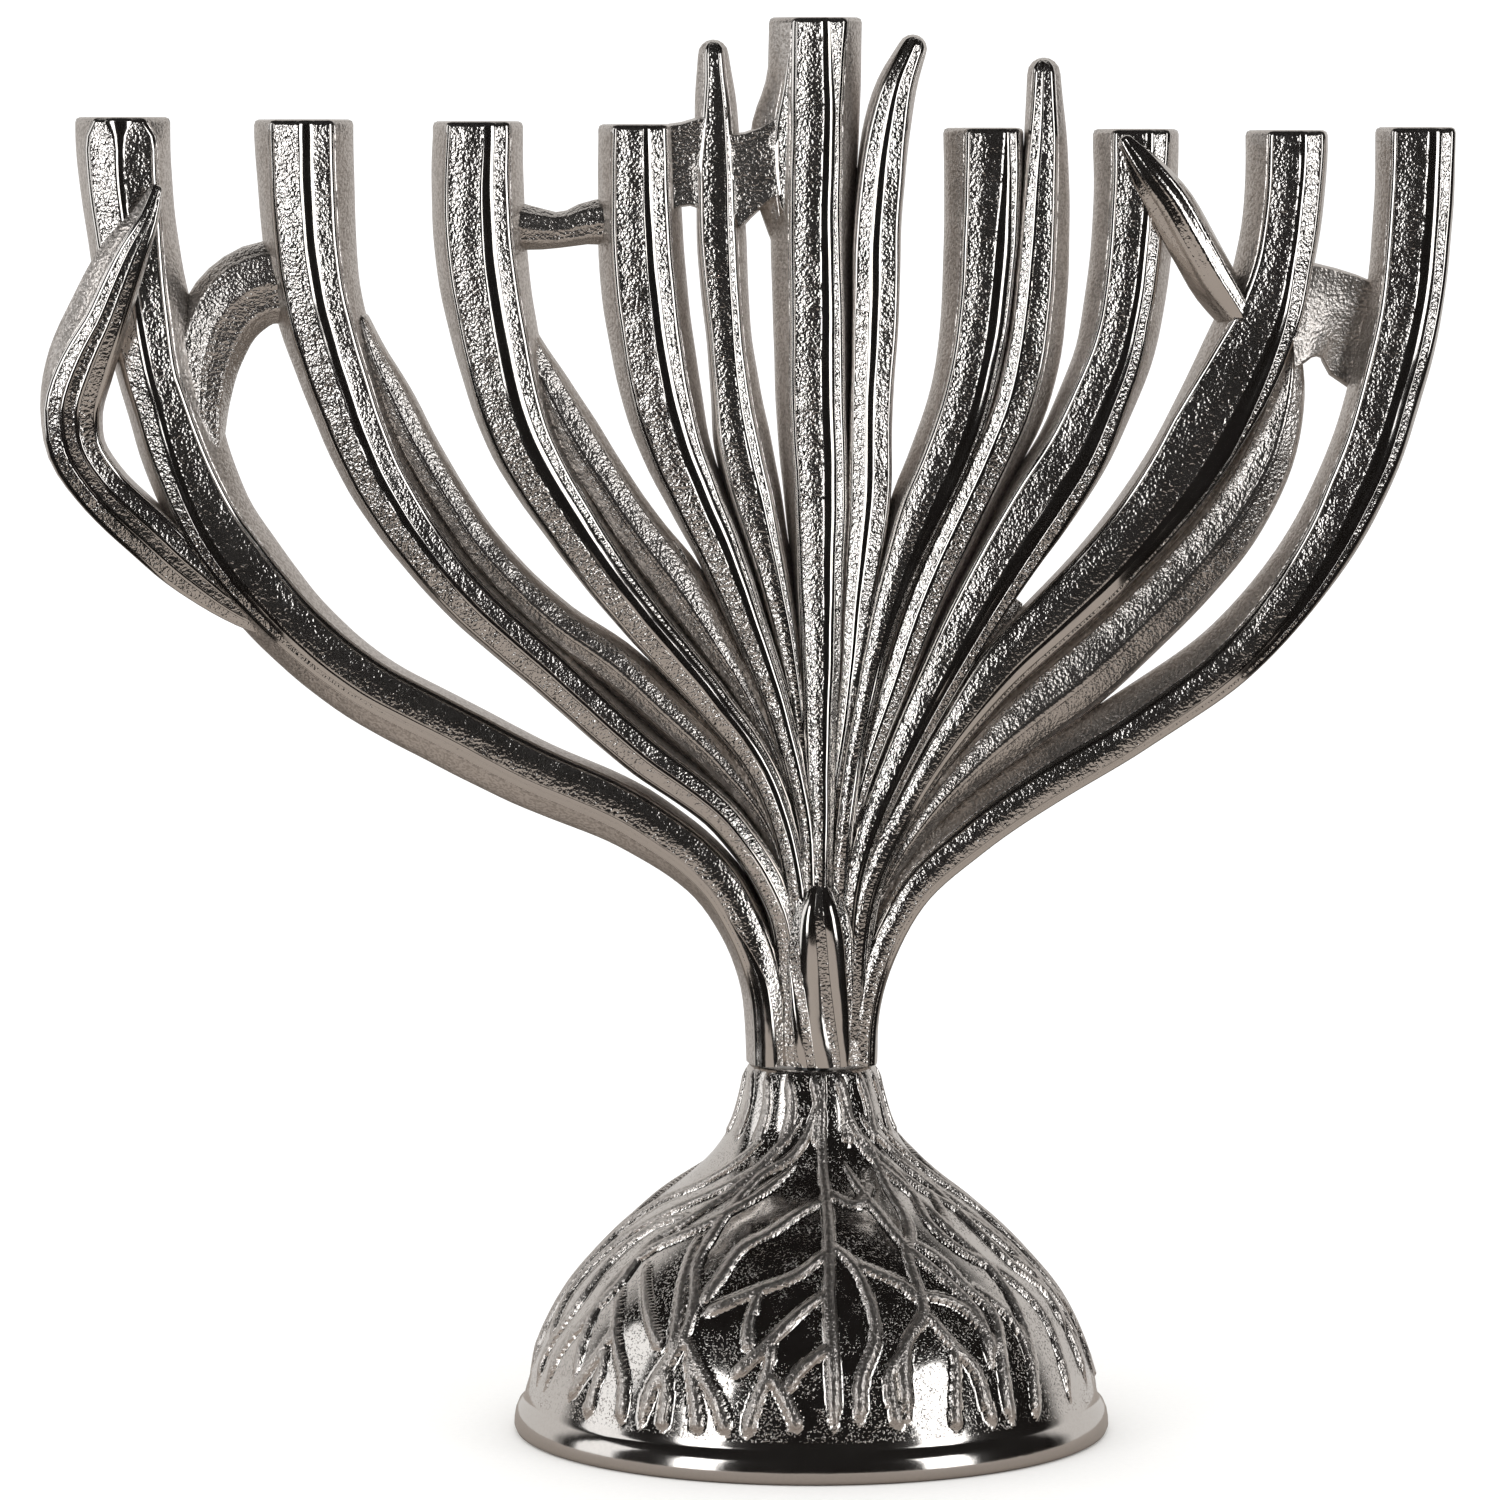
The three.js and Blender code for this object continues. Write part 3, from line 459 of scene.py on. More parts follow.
def limb(name):
    """The section carried along the stops, each ring square to the path. A candle tube ends in
    a level rim with a rounded edge. A free tip is closed like a quarter circle: while the ring
    moves on by half_width * sin(turn), it shrinks to cos(turn) of its size."""
    path = smooth_path([stop + [0] * (5 - len(stop)) for stop in LIMBS[name]], STEP)
    top = TUBE_TOPS.get(name)
    if top:
        path = path[path[:, 1] < top - 2]
        path = np.vstack([path, path[-1]])
        path[-1, 1] = top - LAST_RING
    x, z, half_width, half_depth, y = path.T
    rows = np.array(FLUTES[name], float)
    sides = np.stack([np.interp(z, rows[:, 0], rows[:, k]) for k in range(1, rows.shape[1])], 1)
    face = WEB_FACE if name in WEBS else RIB_FACE if name in RIBS else TUBE_FACE
    outline, kinds = section(half_width, half_depth, sides, *face)

    heading = np.gradient(path[:, :2], axis=0)
    heading /= np.linalg.norm(heading, axis=1)[:, None]
    if top:
        level = np.clip((z - top + LEVEL_FROM) / LEVEL_OVER, 0, 1)[:, None]
        level = level * level * (3 - 2 * level)
        heading = heading * (1 - level) + np.array([0, 1]) * level
        heading /= np.linalg.norm(heading, axis=1)[:, None]
    across = np.stack([heading[:, 1], np.zeros(len(path)), -heading[:, 0]], -1)
    centre = np.stack([x, y, z], -1)
    rings = (centre[:, None] + across[:, None] * outline[..., :1]
             + np.array([0, -1, 0]) * outline[..., 1:])
    finish = np.repeat(kinds[None], len(path), axis=0)
    if name in WHOLE_FINISH:
        finish[...] = WHOLE_FINISH[name]
    if name in RIBS:
        finish = np.maximum(finish, RIB_FINISH)
    if name in FREE_ENDS:
        ahead = np.array([heading[-1, 0], 0, heading[-1, 1]]) * half_width[-1]
        shrunk = (rings[-1] - centre[-1]) * np.cos(CAP_TURNS)
        cap = centre[-1] + shrunk + ahead * np.sin(CAP_TURNS)
        rings = np.concatenate([rings, cap])
        finish = np.concatenate([finish, np.repeat(finish[-1:], len(cap), axis=0)])
    rings = as_cast(rings)
    if top:
        flat = rings[-1] * [1, 1, 0] + [0, 0, top]
        middle = np.array([x[-1], 0, top])
        radius = np.linalg.norm(flat - middle, axis=1)[:, None]
        ray = (flat - middle) / radius
        rim = [middle + ray * (radius - RIM_ROUND) + [0, 0, -RIM_DROP],
               middle + ray * (radius - RIM_FLAT)]
        rings = np.concatenate([rings, np.stack(rim)])
        finish = np.concatenate([finish, np.tile([[RIM_FINISH]], (2, len(kinds), 1))])
    return skin(name, rings, finish)


limbs = [limb(name) for name in LIMBS]
print(len(limbs), "limbs,", sum(len(o.data.polygons) for o in limbs), "faces")

# %% [markdown]
# ## One casting
# On the real menorah all limbs are one body of metal, poured in one go. Laying them over each
# other would leave hidden walls inside, so they are joined with a Boolean union, which keeps only
# the outer skin. The candle bores are cut last, as on the real one, so that no bridge or twig
# fills them again. The Manifold solver is exact and fast on closed meshes, and it carries the
# corner values along, so every face still knows its finish.

# %% Joining the limbs
MOUTH_DEPTH, MOUTH_FLARE = 0.3, 0.6  # mm, where a bore opens
CREASE = math.radians(52)  # two faces that meet at more than this keep a sharp edge


def combine(name, operation, first, rest):
    """One new piece: first joined with the rest, or cut by the rest, all at once."""
    others = bpy.data.collections.new(name + "_others")
    for piece in rest:
        others.objects.link(piece)
    boolean = first.modifiers.new("boolean", "BOOLEAN")
    boolean.operation, boolean.solver = operation, "MANIFOLD"
    boolean.operand_type, boolean.collection = "COLLECTION", others
    graph = bpy.context.evaluated_depsgraph_get()
    mesh = bpy.data.meshes.new_from_object(first.evaluated_get(graph))
    mesh.name = name
    for piece in [first, *rest]:
        bpy.data.objects.remove(piece)
    bpy.data.collections.remove(others)
    whole = bpy.data.objects.new(name, mesh)
    bpy.context.scene.collection.objects.link(whole)
    return whole


def candle_bore(name):
    """A drilled hole: the circle (cos t, sin t) at three levels, flared at the mouth."""
    x, top = LIMBS[name][-1][0], TUBE_TOPS[name]
    turn = np.linspace(0, 2 * np.pi, 64, endpoint=False)
    circle = np.stack([np.cos(turn), np.sin(turn), 0 * turn], -1)
    levels = [(BORE_RADIUS, top - BORE_DEPTH), (BORE_RADIUS, top - MOUTH_DEPTH),
              (BORE_RADIUS + MOUTH_FLARE, top + MOUTH_DEPTH)]
    rings = np.stack([circle * radius + [x, 0, z] for radius, z in levels])
    return skin(name + "_bore", rings, RIM_FINISH)


solid = combine("limbs", "UNION", limbs[0], limbs[1:])
branches = combine("branch_casting", "DIFFERENCE", solid, [candle_bore(name) for name in TUBE_TOPS])
branches.data.shade_smooth()
branches.data.set_sharp_from_angle(angle=CREASE)
branches.data.calc_loop_triangles()
print("branch casting:", len(branches.data.loop_triangles), "triangles")

# %% [markdown]
# ## The domed base
# The base is turned by its profile: a rim, a bell-shaped wall, a neck, the bore for the screw and
# the hollow underneath. Roots creep down the wall in relief. A root is a path of [degrees round
# from the front, height in mm]. For every point of the wall its distance to the nearest root is
# measured on the surface, and inside a root's width the surface is lifted along its normal.

# %% Roots
ROOTS = {
    "tap": [[10, 63], [6, 50], [6, 43], [5, 36], [4, 29], [4, 21], [4, 9]],
    "sweep": [[-20, 50], [-40, 45], [-64, 39], [-80, 32], [-82, 24], [-76, 16]],
    "sweep_low": [[-10, 48], [-29, 42], [-42, 38], [-55, 34], [-61, 28], [-60, 20], [-58, 13]],
    "sweep_short": [[-40, 37], [-37, 31], [-33, 24], [-32, 19]],
    "sweep_high": [[-35, 52], [-57, 45], [-84, 38], [-92, 30], [-90, 20], [-88, 10]],
    "fall": [[41, 55], [64, 47], [72, 39], [79, 32], [80, 22], [78, 13]],
    "fall_low": [[30, 52], [46, 45], [52, 37], [57, 29], [55, 21], [52, 13]],
    "fall_far": [[48, 48], [60, 42], [72, 36], [77, 28], [74, 19]],
    "fall_near": [[19, 48], [25, 42], [30, 36], [37, 31], [42, 25], [41, 17]],
    "fall_side": [[60, 54], [82, 44], [90, 35], [92, 24], [90, 11]],
    "tap_fork": [[5, 37], [11, 34], [14, 29], [14, 23], [10, 17], [9, 10]],
    "tap_side": [[11, 34], [19, 32], [25, 30], [27, 28]],
    "near_right": [[24, 61], [32, 53], [39, 50], [38, 44], [35, 38], [30, 35], [28, 29],
                   [27, 26], [21, 22], [19, 16], [19, 10]],
    "near_right_fork": [[21, 22], [16, 17], [16, 13], [17, 9]],
    "right": [[40, 52], [50, 44], [45, 38], [50, 34], [60, 30], [66, 23], [65, 15], [64, 9]],
    "far_right": [[54, 50], [66, 43], [66, 39], [67, 34], [69, 30], [75, 26], [76, 19], [76, 10]],
    "right_stub": [[62, 43], [57, 40], [52, 37]],
    "mid_right": [[32, 37], [40, 33], [43, 29], [47, 25], [45, 20], [43, 13], [43, 8]],
    "mid_right_fork": [[46, 29], [52, 23], [53, 18], [51, 11], [50, 8]],
    "curl": [[28, 29], [37, 27], [42, 22], [43, 19]],
    "low_right": [[27, 27], [32, 21], [36, 17], [37, 12], [38, 8]],
    "low_right_fork": [[32, 21], [31, 16], [30, 13], [29, 8]],
    "loop": [[6, 44], [18, 42], [29, 45]],
    "near_left": [[5, 59], [-3, 53], [-13, 49], [-28, 46], [-34, 42], [-35, 38], [-35, 33],
                  [-31, 28], [-30, 23], [-32, 19], [-35, 14], [-36, 8]],
    "left": [[-9, 55], [-26, 49], [-38, 44], [-49, 39], [-58, 34], [-58, 29], [-61, 24],
             [-68, 16], [-70, 10]],
    "left_arm": [[6, 43], [-5, 41], [-15, 38], [-22, 36], [-26, 31], [-29, 27]],
    "left_arm_low": [[5, 36], [-5, 32], [-14, 30], [-21, 28], [-27, 26]],
    "left_hand": [[4, 30], [-3, 27], [-9, 23], [-13, 20], [-17, 17]],
    "left_finger": [[4, 22], [-2, 19], [-6, 15]],
    "drop": [[-9, 23], [-10, 17], [-12, 12], [-13, 8]],
    "drop_fork": [[-10, 18], [-6, 14], [-3, 9]],
    "short": [[-14, 30], [-15, 24], [-14, 21]],
    "foot": [[-30, 23], [-25, 18], [-20, 13], [-17, 8]],
    "foot_fork": [[-28, 20], [-25, 14], [-23, 8]],
    "toe": [[-33, 18], [-31, 12], [-31, 8]],
    "mid_left": [[-53, 32], [-45, 27], [-39, 23], [-35, 20]],
    "low_left": [[-56, 28], [-48, 20], [-43, 15], [-41, 8]],
    "low_left_fork": [[-50, 23], [-52, 18], [-56, 13], [-58, 10]],
    "low_left_toe": [[-50, 19], [-50, 14], [-51, 8]],
    "far_left": [[-46, 40], [-64, 37], [-71, 31], [-71, 23], [-76, 15], [-76, 10]],
}
SIDE_ROOTS = ("near_left", "foot", "foot_fork", "toe", "mid_left")
SIDE_TURNS = (124, 242)  # degrees
ROOT_HEIGHT, ROOT_HALF_WIDTH, ROOT_BULGE = 0.8, 1.1, 0.55  # mm, mm, and how steep its sides are
STRAND_STRENGTH = 0.6  # the fine strands on the neck are this much lower

WALL = [[49.2, 5.6], [48.9, 6.9], [48.5, 8.2], [46.9, 13.3], [42.9, 22], [36, 30.6],
        [26.7, 39.3], [20.6, 44], [16.7, 47.9], [13.8, 52.5], [12.2, 57.5], [11.1, 62.2]]
RIM = [[49.9, 0], [50.6, 0.35], [50.9, 1.1], [50.85, 2.2], [50.65, 3.4], [50.2, 4.5], [49.5, 5.2]]
NECK = [[10.7, 62.85], [9.9, 63], [3.6, 63], [3.3, 62.7]]
HOLLOW = [[3.3, 48.3], [3.6, 48], [9, 48], [14.4, 45.3], [24.6, 36.9], [33.6, 28.4],
          [40.1, 20.4], [43.9, 12], [45.2, 7], [46, 0.5], [46.5, 0]]
AROUND = 560  # points round the dome, half a millimetre apart at the rim
print(len(ROOTS), "roots on the front of the dome")


def root_paths():
    """The roots as drawn, the same set on the back, and a few of them at each side between."""
    front = list(ROOTS.values())
    back = [[[180 - angle, z] for angle, z in path] for path in front]
    sides = [[[angle + turn, z] for angle, z in ROOTS[name]]
             for name in SIDE_ROOTS for turn in SIDE_TURNS]
    strands = [[[angle, 62.5], [angle + 5, 57], [angle + 2, 51]] for angle in range(-175, 180, 22)]
    return ([(path, 1.0) for path in front + back + sides]
            + [(path, STRAND_STRENGTH) for path in strands])


def relief(angle, height_along, radius, heights, measure):
    """How far each point of the wall is lifted, as a share of ROOT_HEIGHT: 1 - (distance / half
    width)^2, to the power ROOT_BULGE. A root swells downwards and fades out at its ends."""
    lift = np.zeros(angle.shape)
    for path, strength in root_paths():
        path = np.array(path, float)
        along = np.interp(path[:, 1], heights, measure)
        line = smooth_path(np.stack([path[:, 0] * 0.5, along, path[:, 0]], -1), 1.6)[:, 1:]
        line_s, line_a = line[:, 0], line[:, 1]
        reach = 3  # mm, more than a root is wide
        rows = ((height_along[:, 0] > line_s.min() - reach)
                & (height_along[:, 0] < line_s.max() + reach))
        a, s, r = angle[rows], height_along[rows], radius[rows]
        nearest = np.full(a.shape, np.inf)
        share = np.zeros(a.shape)
        for k in range(len(line) - 1):
            du = np.radians((a - line_a[k] + 180) % 360 - 180) * r
            dv = s - line_s[k]
            eu = np.radians(line_a[k + 1] - line_a[k]) * r
            ev = line_s[k + 1] - line_s[k]
            t = np.clip((du * eu + dv * ev) / (eu**2 + ev**2 + 1e-9), 0, 1)
            distance = np.hypot(du - t * eu, dv - t * ev)
            closer = distance < nearest
            nearest = np.where(closer, distance, nearest)
            share = np.where(closer, (k + t) / (len(line) - 1), share)
        fade = np.clip(share / 0.12, 0, 1) * np.clip((1 - share) / 0.06, 0, 1)
        wide = ROOT_HALF_WIDTH * (0.75 + 0.35 * share) * (0.45 + 0.55 * fade)
        bump = np.clip(1 - (nearest / wide) ** 2, 0, 1) ** ROOT_BULGE
        lift[rows] = np.maximum(lift[rows], bump * strength * (0.25 + 0.75 * fade))
    return lift

# %% [markdown]
# ## Turning the base
# The real base was cast over a core, which left the hollow, and its rim was turned and buffed
# bright. A Screw modifier could spin the profile, but the roots differ at every angle. A full
# grid of angle against profile length takes both at once: the rings are turned first, and then
# the wall's rows are lifted where the roots run. Their finish follows the same lift, so bark is
# grainy and the ground between the roots is bright with a few pores.

# %% Turning the base
WALL_STEP, HOLLOW_STEP = 0.52, 3  # mm along the profile
BASE_CREASE = math.radians(60)


def base_casting():
    """Rings are lines down the profile here: every profile point is carried round the axis."""
    wall = smooth_path(WALL, WALL_STEP)
    profile = np.vstack([RIM, wall, NECK, smooth_path(HOLLOW, HOLLOW_STEP)])
    measure = walked(wall)
    angle = np.linspace(-180, 180, AROUND, endpoint=False)[None] * np.ones((len(wall), 1))
    lift = relief(angle, np.broadcast_to(measure[:, None], angle.shape),
                  np.broadcast_to(wall[:, :1], angle.shape), wall[:, 1], measure)
    turn = np.radians(angle[0])
    around = np.stack([np.sin(turn), -np.cos(turn)], -1)
    rings = np.concatenate([profile[:, None, :1] * around[None],
                            np.repeat(profile[:, None, 1:], AROUND, 1)], -1)
    slope = np.gradient(wall, axis=0)
    slope /= np.linalg.norm(slope, axis=1)[:, None]
    out = np.concatenate([slope[:, None, 1:] * around[None],
                          np.repeat(-slope[:, None, :1], AROUND, 1)], -1)
    first = len(RIM)
    rows = slice(first, first + len(wall))
    rings[rows] += out * (ROOT_HEIGHT * lift[..., None])
    finish = np.zeros(rings.shape)
    bark = np.clip(lift * 2.2, 0, 1)  # full bark from a little under half a root's height
    finish[rows] = np.stack([1.1 * bark, 0.8 * bark, 1 - bark], -1)
    finish[: first + 3] = [0, 0.12, 0]
    finish[first + len(wall):] = [0.6, 0.3, 0]
    return skin("base_casting", rings, finish, closed_profile=True)


base = base_casting()
base.data.set_sharp_from_angle(angle=BASE_CREASE)
base.data.calc_loop_triangles()
print("base casting:", len(base.data.loop_triangles), "triangles")

# %% [markdown]
# ## Finishes
# The metal is aluminium with a bright nickel plate: a warm grey mirror where it was buffed. What
# changes over the object is only how rough the skin under the plate is. So each casting has one
# material, and the finish stored at the corners mixes three skins: polished, grainy from the sand
# mould, and satin from a fine belt.

# %% Colours and nodes
def colour(hex_code):
    """An sRGB hex colour as linear red, green, blue, alpha."""
    parts = [int(hex_code[k : k + 2], 16) / 255 for k in (1, 3, 5)]
    return [p / 12.92 if p <= 0.04045 else ((p + 0.055) / 1.055) ** 2.4 for p in parts] + [1]


def node(tree, kind, settings=None, **links):
    """Adds one shader node. settings sets its properties; links sets inputs to values or joins
    them to the outputs given. An input called by a number is named n0, n1 and so on."""
    made = tree.nodes.new("ShaderNode" + kind)
    for name, value in (settings or {}).items():
        setattr(made, name, value)
    for name, value in links.items():
        key = int(name[1:]) if name[0] == "n" and name[1:].isdigit() else name.replace("_", " ")
        socket = made.inputs[key]
        if isinstance(value, bpy.types.NodeSocket):
            tree.links.new(value, socket)
        else:
            socket.default_value = value
    return made


def new_material(name):
    material = bpy.data.materials.new(name)
    material.use_nodes = True
    tree = material.node_tree
    tree.nodes.clear()
    return material, tree


MULTIPLY, MULTIPLY_ADD = {"operation": "MULTIPLY"}, {"operation": "MULTIPLY_ADD"}
COLOURS = {"data_type": "RGBA"}  # a Mix node of colours: n0 is the share, n6 and n7 the colours
NICKEL = colour("#DCD8D4")
NICKEL_SATIN = colour("#D8D2CD")
# The darker colour painted into the hollows between the sand lumps: painted shade.
NICKEL_PAINTED_HOLLOW_SHADE = colour("#9A928B")

# %% [markdown]
# ## Bright nickel on cast aluminium
# Bright nickel is a yellowish grey mirror, and it hides nothing under it. Where the sand left
# lumps half a millimetre across, each lump mirrors another part of the room, and the flute breaks
# up into black and white specks. A noise texture through a Bump node does this well, as long as it
# has hardly any fine detail: many octaves average to plain grey. Where a belt was used there are
# faint lines along the limb and a softer gloss, and the hollows between the lumps get painted
# shade, a darker colour. On the dome the mirror has small round pores, crowded in patches.

# %% Bright nickel on cast aluminium
PATCH_MM, RIPPLE_MM, PIT_MM = 5, 3.2, 0.4  # sizes of the patches, the ripple and the pores
BRUSHING = (9.0, 0.5, 1.0)  # belt lines to a mm, across and along a limb


def nickel_on_casting(name, grain_mm, relief_mm, pit_depth):
    """Bright nickel over cast aluminium: a warm mirror that the sandy skin breaks into specks,
    that the belt dulls on the flanks, and that has small round pores on the dome."""
    material, tree = new_material(name)
    where = node(tree, "TexCoord").outputs["Object"]
    kept = node(tree, "VertexColor", {"layer_name": "finish"}).outputs["Color"]
    split = node(tree, "SeparateColor", Color=kept)
    grain, satin, pits = (split.outputs[k] for k in ("Red", "Green", "Blue"))
    lumps = node(tree, "TexNoise", Vector=where, Scale=1 / (grain_mm * MM),
                 Detail=1.2, Roughness=0.5).outputs["Fac"]
    patches = node(tree, "TexNoise", Vector=where, Scale=1 / (PATCH_MM * MM),
                   Detail=2.0).outputs["Fac"]
    ripple = node(tree, "TexNoise", Vector=where, Scale=1 / (RIPPLE_MM * MM),
                  Detail=1.0).outputs["Fac"]
    along = node(tree, "UVMap", {"uv_map": "millimetres"}).outputs["UV"]
    stretched = node(tree, "Mapping", Vector=along, Scale=BRUSHING)
    brushing = node(tree, "TexNoise", Vector=stretched.outputs["Vector"], Scale=1.0,
                    Detail=2.0).outputs["Fac"]

    # Relief: sand grain, pores, belt lines, and the slow ripple of a buffed surface.
    dots = node(tree, "TexNoise", Vector=where, Scale=1 / (PIT_MM * MM), Detail=1.0)
    dotted = node(tree, "MapRange", Value=dots.outputs["Fac"], From_Min=0.57,
                  From_Max=0.7, To_Max=pit_depth).outputs[0]
    crowded = node(tree, "MapRange", Value=patches, From_Min=0.42, From_Max=0.62,
                   To_Min=0.2).outputs[0]
    holes = node(tree, "Math", MULTIPLY, n0=dotted, n1=crowded).outputs[0]
    rough_skin = node(tree, "Math", MULTIPLY_ADD, n0=ripple, n1=1.2, n2=lumps).outputs[0]
    height = node(tree, "Math", MULTIPLY, n0=rough_skin, n1=grain).outputs[0]
    brushed = node(tree, "Math", MULTIPLY, n0=brushing, n1=satin).outputs[0]
    for layer, share in ((holes, pits), (brushed, 0.08), (ripple, 0.15)):
        height = node(tree, "Math", MULTIPLY_ADD, n0=layer, n1=share, n2=height).outputs[0]
    bump = node(tree, "Bump", Strength=1.0, Distance=relief_mm * MM, Height=height)

    # Gloss: 0.07 on a buffed land, and more for grain, belt work and worn patches.
    roughness = 0.07
    for layer, share in ((grain, 0.06), (satin, 0.16), (patches, 0.06)):
        roughness = node(tree, "Math", MULTIPLY_ADD, n0=layer, n1=share, n2=roughness).outputs[0]

    # Colour: on satin metal the hollows between the lumps are painted darker, as painted shade.
    painted_hollow_shade = node(tree, "MapRange", Value=lumps, From_Min=0.54, From_Max=0.42,
                  To_Max=0.5).outputs[0]
    sandy = node(tree, "Mix", COLOURS, n0=painted_hollow_shade, n6=NICKEL_SATIN, n7=NICKEL_PAINTED_HOLLOW_SHADE).outputs[2]
    tone = node(tree, "Mix", COLOURS, n0=satin, n6=NICKEL, n7=sandy).outputs[2]
    shader = node(tree, "BsdfPrincipled", Metallic=1.0, Base_Color=tone,
                  Roughness=roughness, Normal=bump.outputs["Normal"])
    node(tree, "OutputMaterial", Surface=shader.outputs[0])
    print(name, "has", len(tree.nodes), "nodes")
    return material


branches.data.materials.clear()
branches.data.materials.append(
    nickel_on_casting("bright_nickel_on_branch_casting", 0.52, 0.18, 0.5))
base.data.materials.append(nickel_on_casting("bright_nickel_on_base_casting", 0.5, 0.17, 0.4))

# %% [markdown]
# ## Zinc-plated steel
# The screw and its two washers sit out of sight under the dome. They are ordinary zinc-plated
# hardware, cooler and duller than the nickel. Their shapes from the CAD model are right as they
# are, so they only get a material: fine turning rings and a cloudy zinc coat.

# %% Zinc-plated steel
TURNING_MM, CLOUD_MM = 0.35, 1.5
STEEL_NODES = ("draw_screw", "plain_washer", "spring_washer")


def zinc_plated_steel():
    """Machine screws and washers: a thin bright zinc coat over turned or stamped steel. A wave
    texture makes a ring every 2 pi * TURNING_MM, coarser than real turning so that it shows."""
    material, tree = new_material("zinc_plated_steel")
    where = node(tree, "TexCoord").outputs["Object"]
    centred = node(tree, "Mapping", Vector=where, Location=(-TRUNK_X, 0, 0))
    turning = node(tree, "TexWave", {"wave_type": "RINGS", "rings_direction": "Z"},
                   Vector=centred.outputs[0], Scale=1 / (TURNING_MM * MM) / 20, Distortion=0.6)
    cloud = node(tree, "TexNoise", Vector=where, Scale=1 / (CLOUD_MM * MM), Detail=3.0)
    bump = node(tree, "Bump", Strength=0.4, Distance=0.02 * MM, Height=turning.outputs["Fac"])
    tone = node(tree, "Mix", COLOURS, n0=cloud.outputs["Fac"],
                n6=colour("#B4B6B8"), n7=colour("#9A9DA2")).outputs[2]
    roughness = node(tree, "MapRange", Value=cloud.outputs["Fac"], To_Min=0.25, To_Max=0.45)
    shader = node(tree, "BsdfPrincipled", Metallic=1.0, Base_Color=tone,
                  Roughness=roughness.outputs[0], Normal=bump.outputs["Normal"])
    node(tree, "OutputMaterial", Surface=shader.outputs[0])
    print(material.name, "has", len(tree.nodes), "nodes")
    return material


steel = zinc_plated_steel()
for name in STEEL_NODES:
    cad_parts[name].data.materials.clear()
    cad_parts[name].data.materials.append(steel)

# %% [markdown]
# ## Which CAD parts these pieces stand for
# Nothing moves on this object, so both castings ride on the one body, root. The branch casting
# stands for all the limbs of the CAD model, and the base casting for its dome. The replaced parts
# stay in the model as collision bodies and are hidden here.

# %% Pieces on the frame
BRANCH_NODES = [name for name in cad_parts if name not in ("base_dome", *STEEL_NODES)]
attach(branches, "root")
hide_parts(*BRANCH_NODES)
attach(base, "root")
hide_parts("base_dome")
print("the branch casting stands for", len(BRANCH_NODES), "CAD nodes")

# %% [markdown]
# ## Floor, light and camera
# Polished metal shows only what stands round it. A bright box on each side gives the tubes their
# white streaks, and the dark room between the boxes gives them their black ones. The world is
# therefore white for the camera and for soft light, but for mirror rays it is dark in front and
# pale behind, browner low down. The paper is small and looks grey-brown to mirror rays, so that
# the undersides of the limbs do not glow.

# %% Floor
LEFT, RIGHT, FRONT, BACK = -0.2, 0.2, -0.4, 0.07  # metres
paper, tree = new_material("white_paper")
where = node(tree, "TexCoord").outputs["Object"]
fibres = node(tree, "TexNoise", Vector=where, Scale=900.0, Detail=3.0)
paper_tone = node(tree, "Mix", COLOURS, n0=fibres.outputs["Fac"],
                  n6=colour("#F4F3F1"), n7=colour("#FBFAF8")).outputs[2]
# Mirror rays see the paper grey-brown instead of white: a painted darker reflection of the floor in
# the metal.
mirrored = node(tree, "LightPath").outputs["Is Glossy Ray"]
paper_with_painted_reflection = node(tree, "Mix", COLOURS, n0=mirrored, n6=paper_tone,
                  n7=colour("#A0978F")).outputs[2]
shader = node(tree, "BsdfPrincipled", Base_Color=paper_with_painted_reflection, Roughness=0.9)
node(tree, "OutputMaterial", Surface=shader.outputs[0])
mesh = bpy.data.meshes.new("floor")
corners = [(LEFT, FRONT, 0), (RIGHT, FRONT, 0), (RIGHT, BACK, 0), (LEFT, BACK, 0)]
mesh.from_pydata(corners, [], [(0, 1, 2, 3)])
mesh.materials.append(paper)
floor = bpy.data.objects.new("floor", mesh)
bpy.context.scene.collection.objects.link(floor)
print("paper of", [round(v, 2) for v in floor.dimensions[:2]], "m")

# %% [markdown]
# ## Lamps
# Two tall softboxes stand in front, left and right. A tube is a rough cylinder, so it squeezes
# each box into one thin bright line, and the width of the box sets the width of the line. A third
# lamp at the far left keeps the dome's shoulder from going black.

# %% Light
AIM = np.array([TRUNK_X, 0, 0.12])


def softbox(name, azimuth, elevation, distance, width, height, power):
    """A rectangular lamp facing the menorah. Azimuth 0 is in front and grows to the right."""
    a, e = math.radians(azimuth), math.radians(elevation)
    away = np.array([math.sin(a) * math.cos(e), -math.cos(a) * math.cos(e), math.sin(e)])
    lamp = bpy.data.lights.new(name, "AREA")
    lamp.shape, lamp.size, lamp.size_y, lamp.energy = "RECTANGLE", width, height, power
    made = bpy.data.objects.new(name, lamp)
    made.location = AIM + away * distance
    made.rotation_euler = Vector(-away).to_track_quat("-Z", "Y").to_euler()
    bpy.context.scene.collection.objects.link(made)
    return made


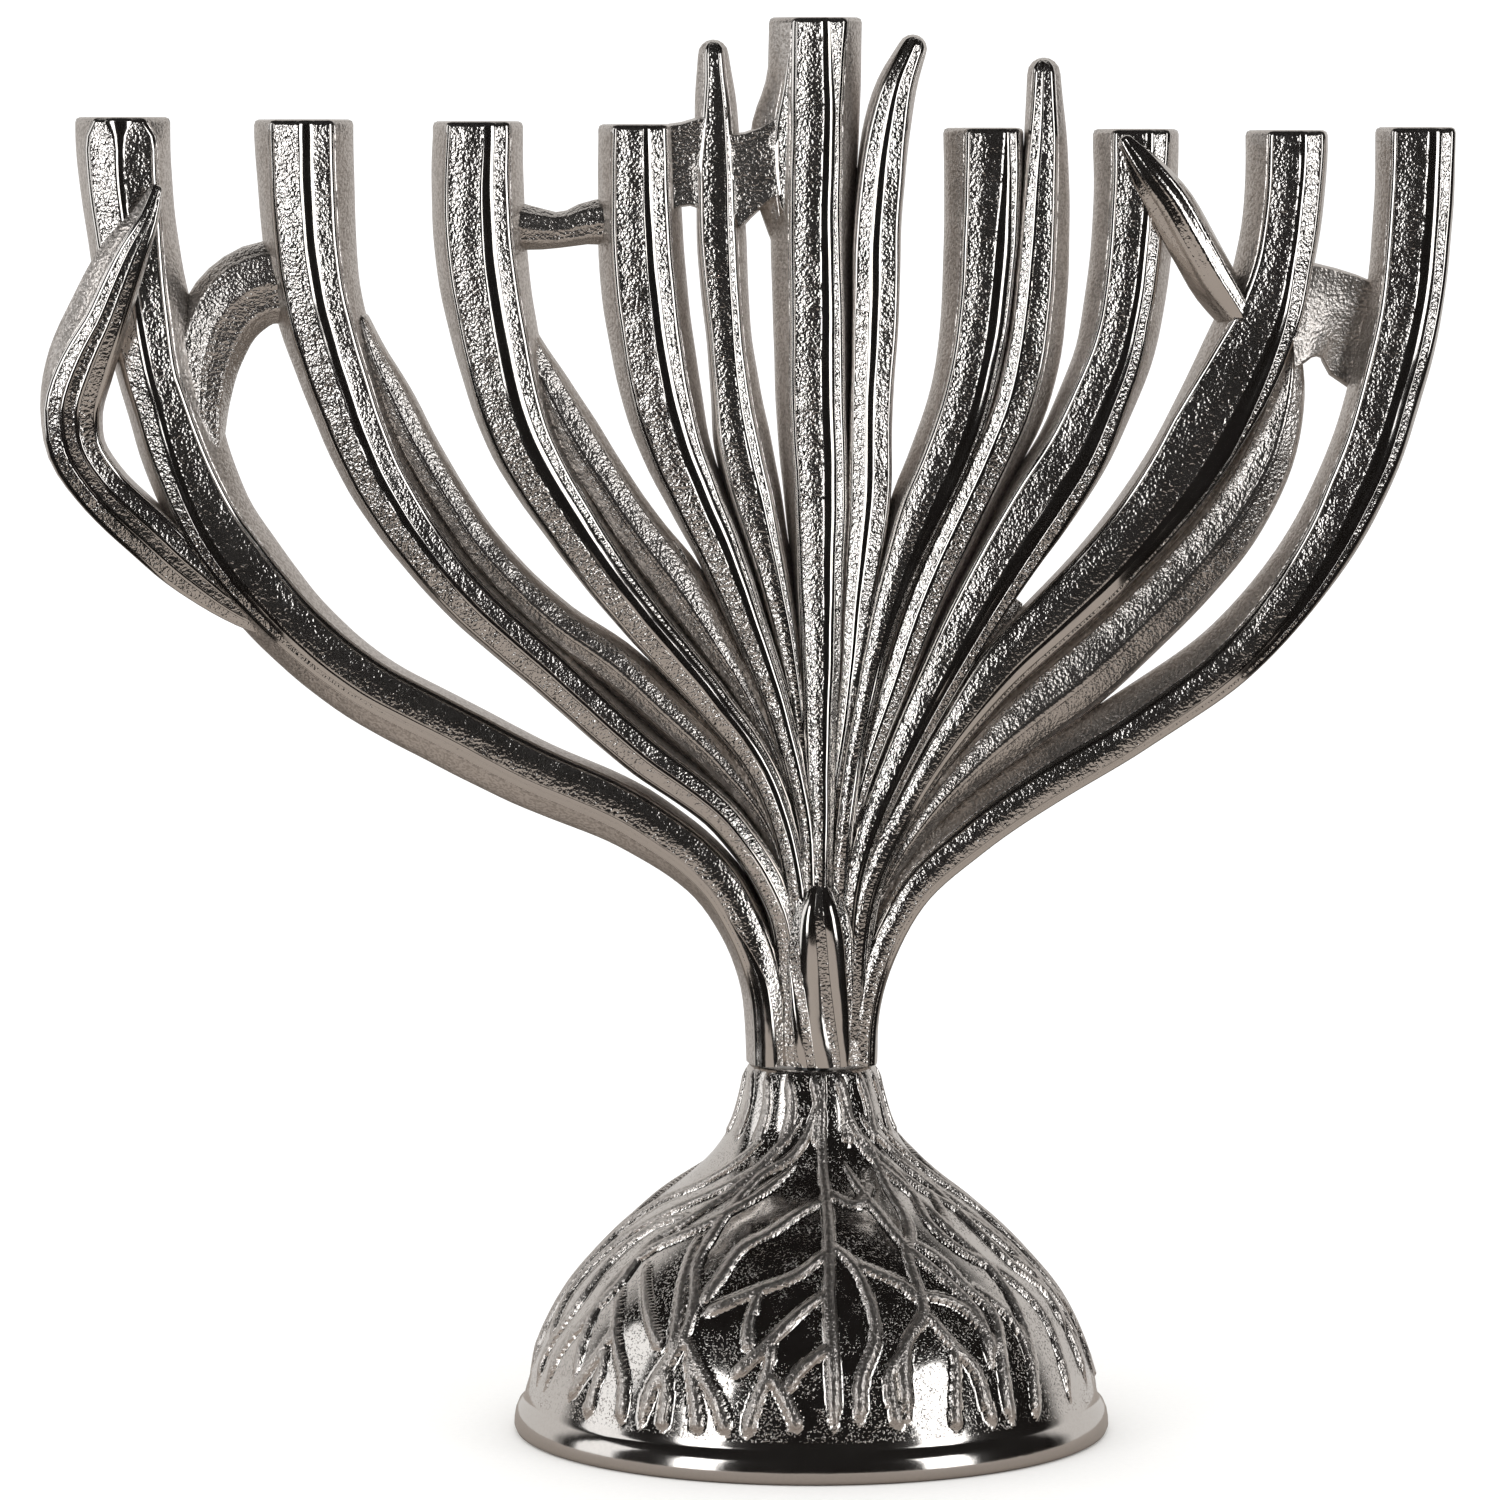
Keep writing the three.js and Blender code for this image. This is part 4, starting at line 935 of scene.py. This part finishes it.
softbox("softbox_left", -45, 10, 1.3, 0.42, 0.9, 3.2)
softbox("softbox_right", 53, 10, 1.3, 0.45, 0.9, 3.4)
softbox("strip_left", -91, 10, 1.3, 0.5, 1.1, 2)

world = bpy.data.worlds.new("studio")
bpy.context.scene.world = world
world.use_nodes = True
tree = world.node_tree
tree.nodes.clear()
towards = node(tree, "TexCoord").outputs["Generated"]
parts = node(tree, "SeparateXYZ", Vector=towards)
behind = node(tree, "MapRange", {"interpolation_type": "SMOOTHSTEP"},
              Value=parts.outputs["Y"], From_Min=0.32, From_Max=0.52).outputs[0]
level = node(tree, "MapRange", {"interpolation_type": "SMOOTHSTEP"},
             Value=parts.outputs["Z"], From_Min=-0.35, From_Max=-0.12).outputs[0]
backdrop = node(tree, "Mix", COLOURS, n0=level,
                n6=colour("#7C746D"), n7=colour("#D6D3D0")).outputs[2]
mirror_world = node(tree, "Mix", COLOURS, n0=behind, n6=colour("#100D0B"), n7=backdrop).outputs[2]
rays = node(tree, "LightPath").outputs
seen = node(tree, "Mix", COLOURS, n0=rays["Is Glossy Ray"],
            n6=(1.2, 1.2, 1.2, 1.0), n7=mirror_world).outputs[2]
background = node(tree, "Background", Color=seen, Strength=1.0)
node(tree, "OutputWorld", Surface=background.outputs[0])
print("lamps:", {lamp.name: lamp.energy for lamp in bpy.data.lights})

# %% [markdown]
# ## Camera
# A long lens more than a metre away keeps the nine tubes nearly parallel. It looks slightly down,
# just enough to see into the rims. The Standard view keeps the highlights as white as the lamps
# make them.

# %% Camera
TILT = math.radians(5.5)
DISTANCE = 1.156  # metres
LENS, SENSOR, CLIP_END = 163.2, 36, 50
target = np.array([TRUNK_X - 0.0105, 0, 0.11665])
camera = bpy.data.cameras.new("camera")
camera.lens, camera.sensor_width, camera.clip_end = LENS, SENSOR, CLIP_END
camera_object = bpy.data.objects.new("camera", camera)
camera_object.location = target + DISTANCE * np.array([0, -math.cos(TILT), math.sin(TILT)])
camera_object.rotation_euler = (math.radians(90) - TILT, 0, 0)
bpy.context.scene.collection.objects.link(camera_object)
bpy.context.scene.camera = camera_object
bpy.context.scene.view_settings.view_transform = "Standard"
print("camera at", [round(v, 3) for v in camera_object.location])
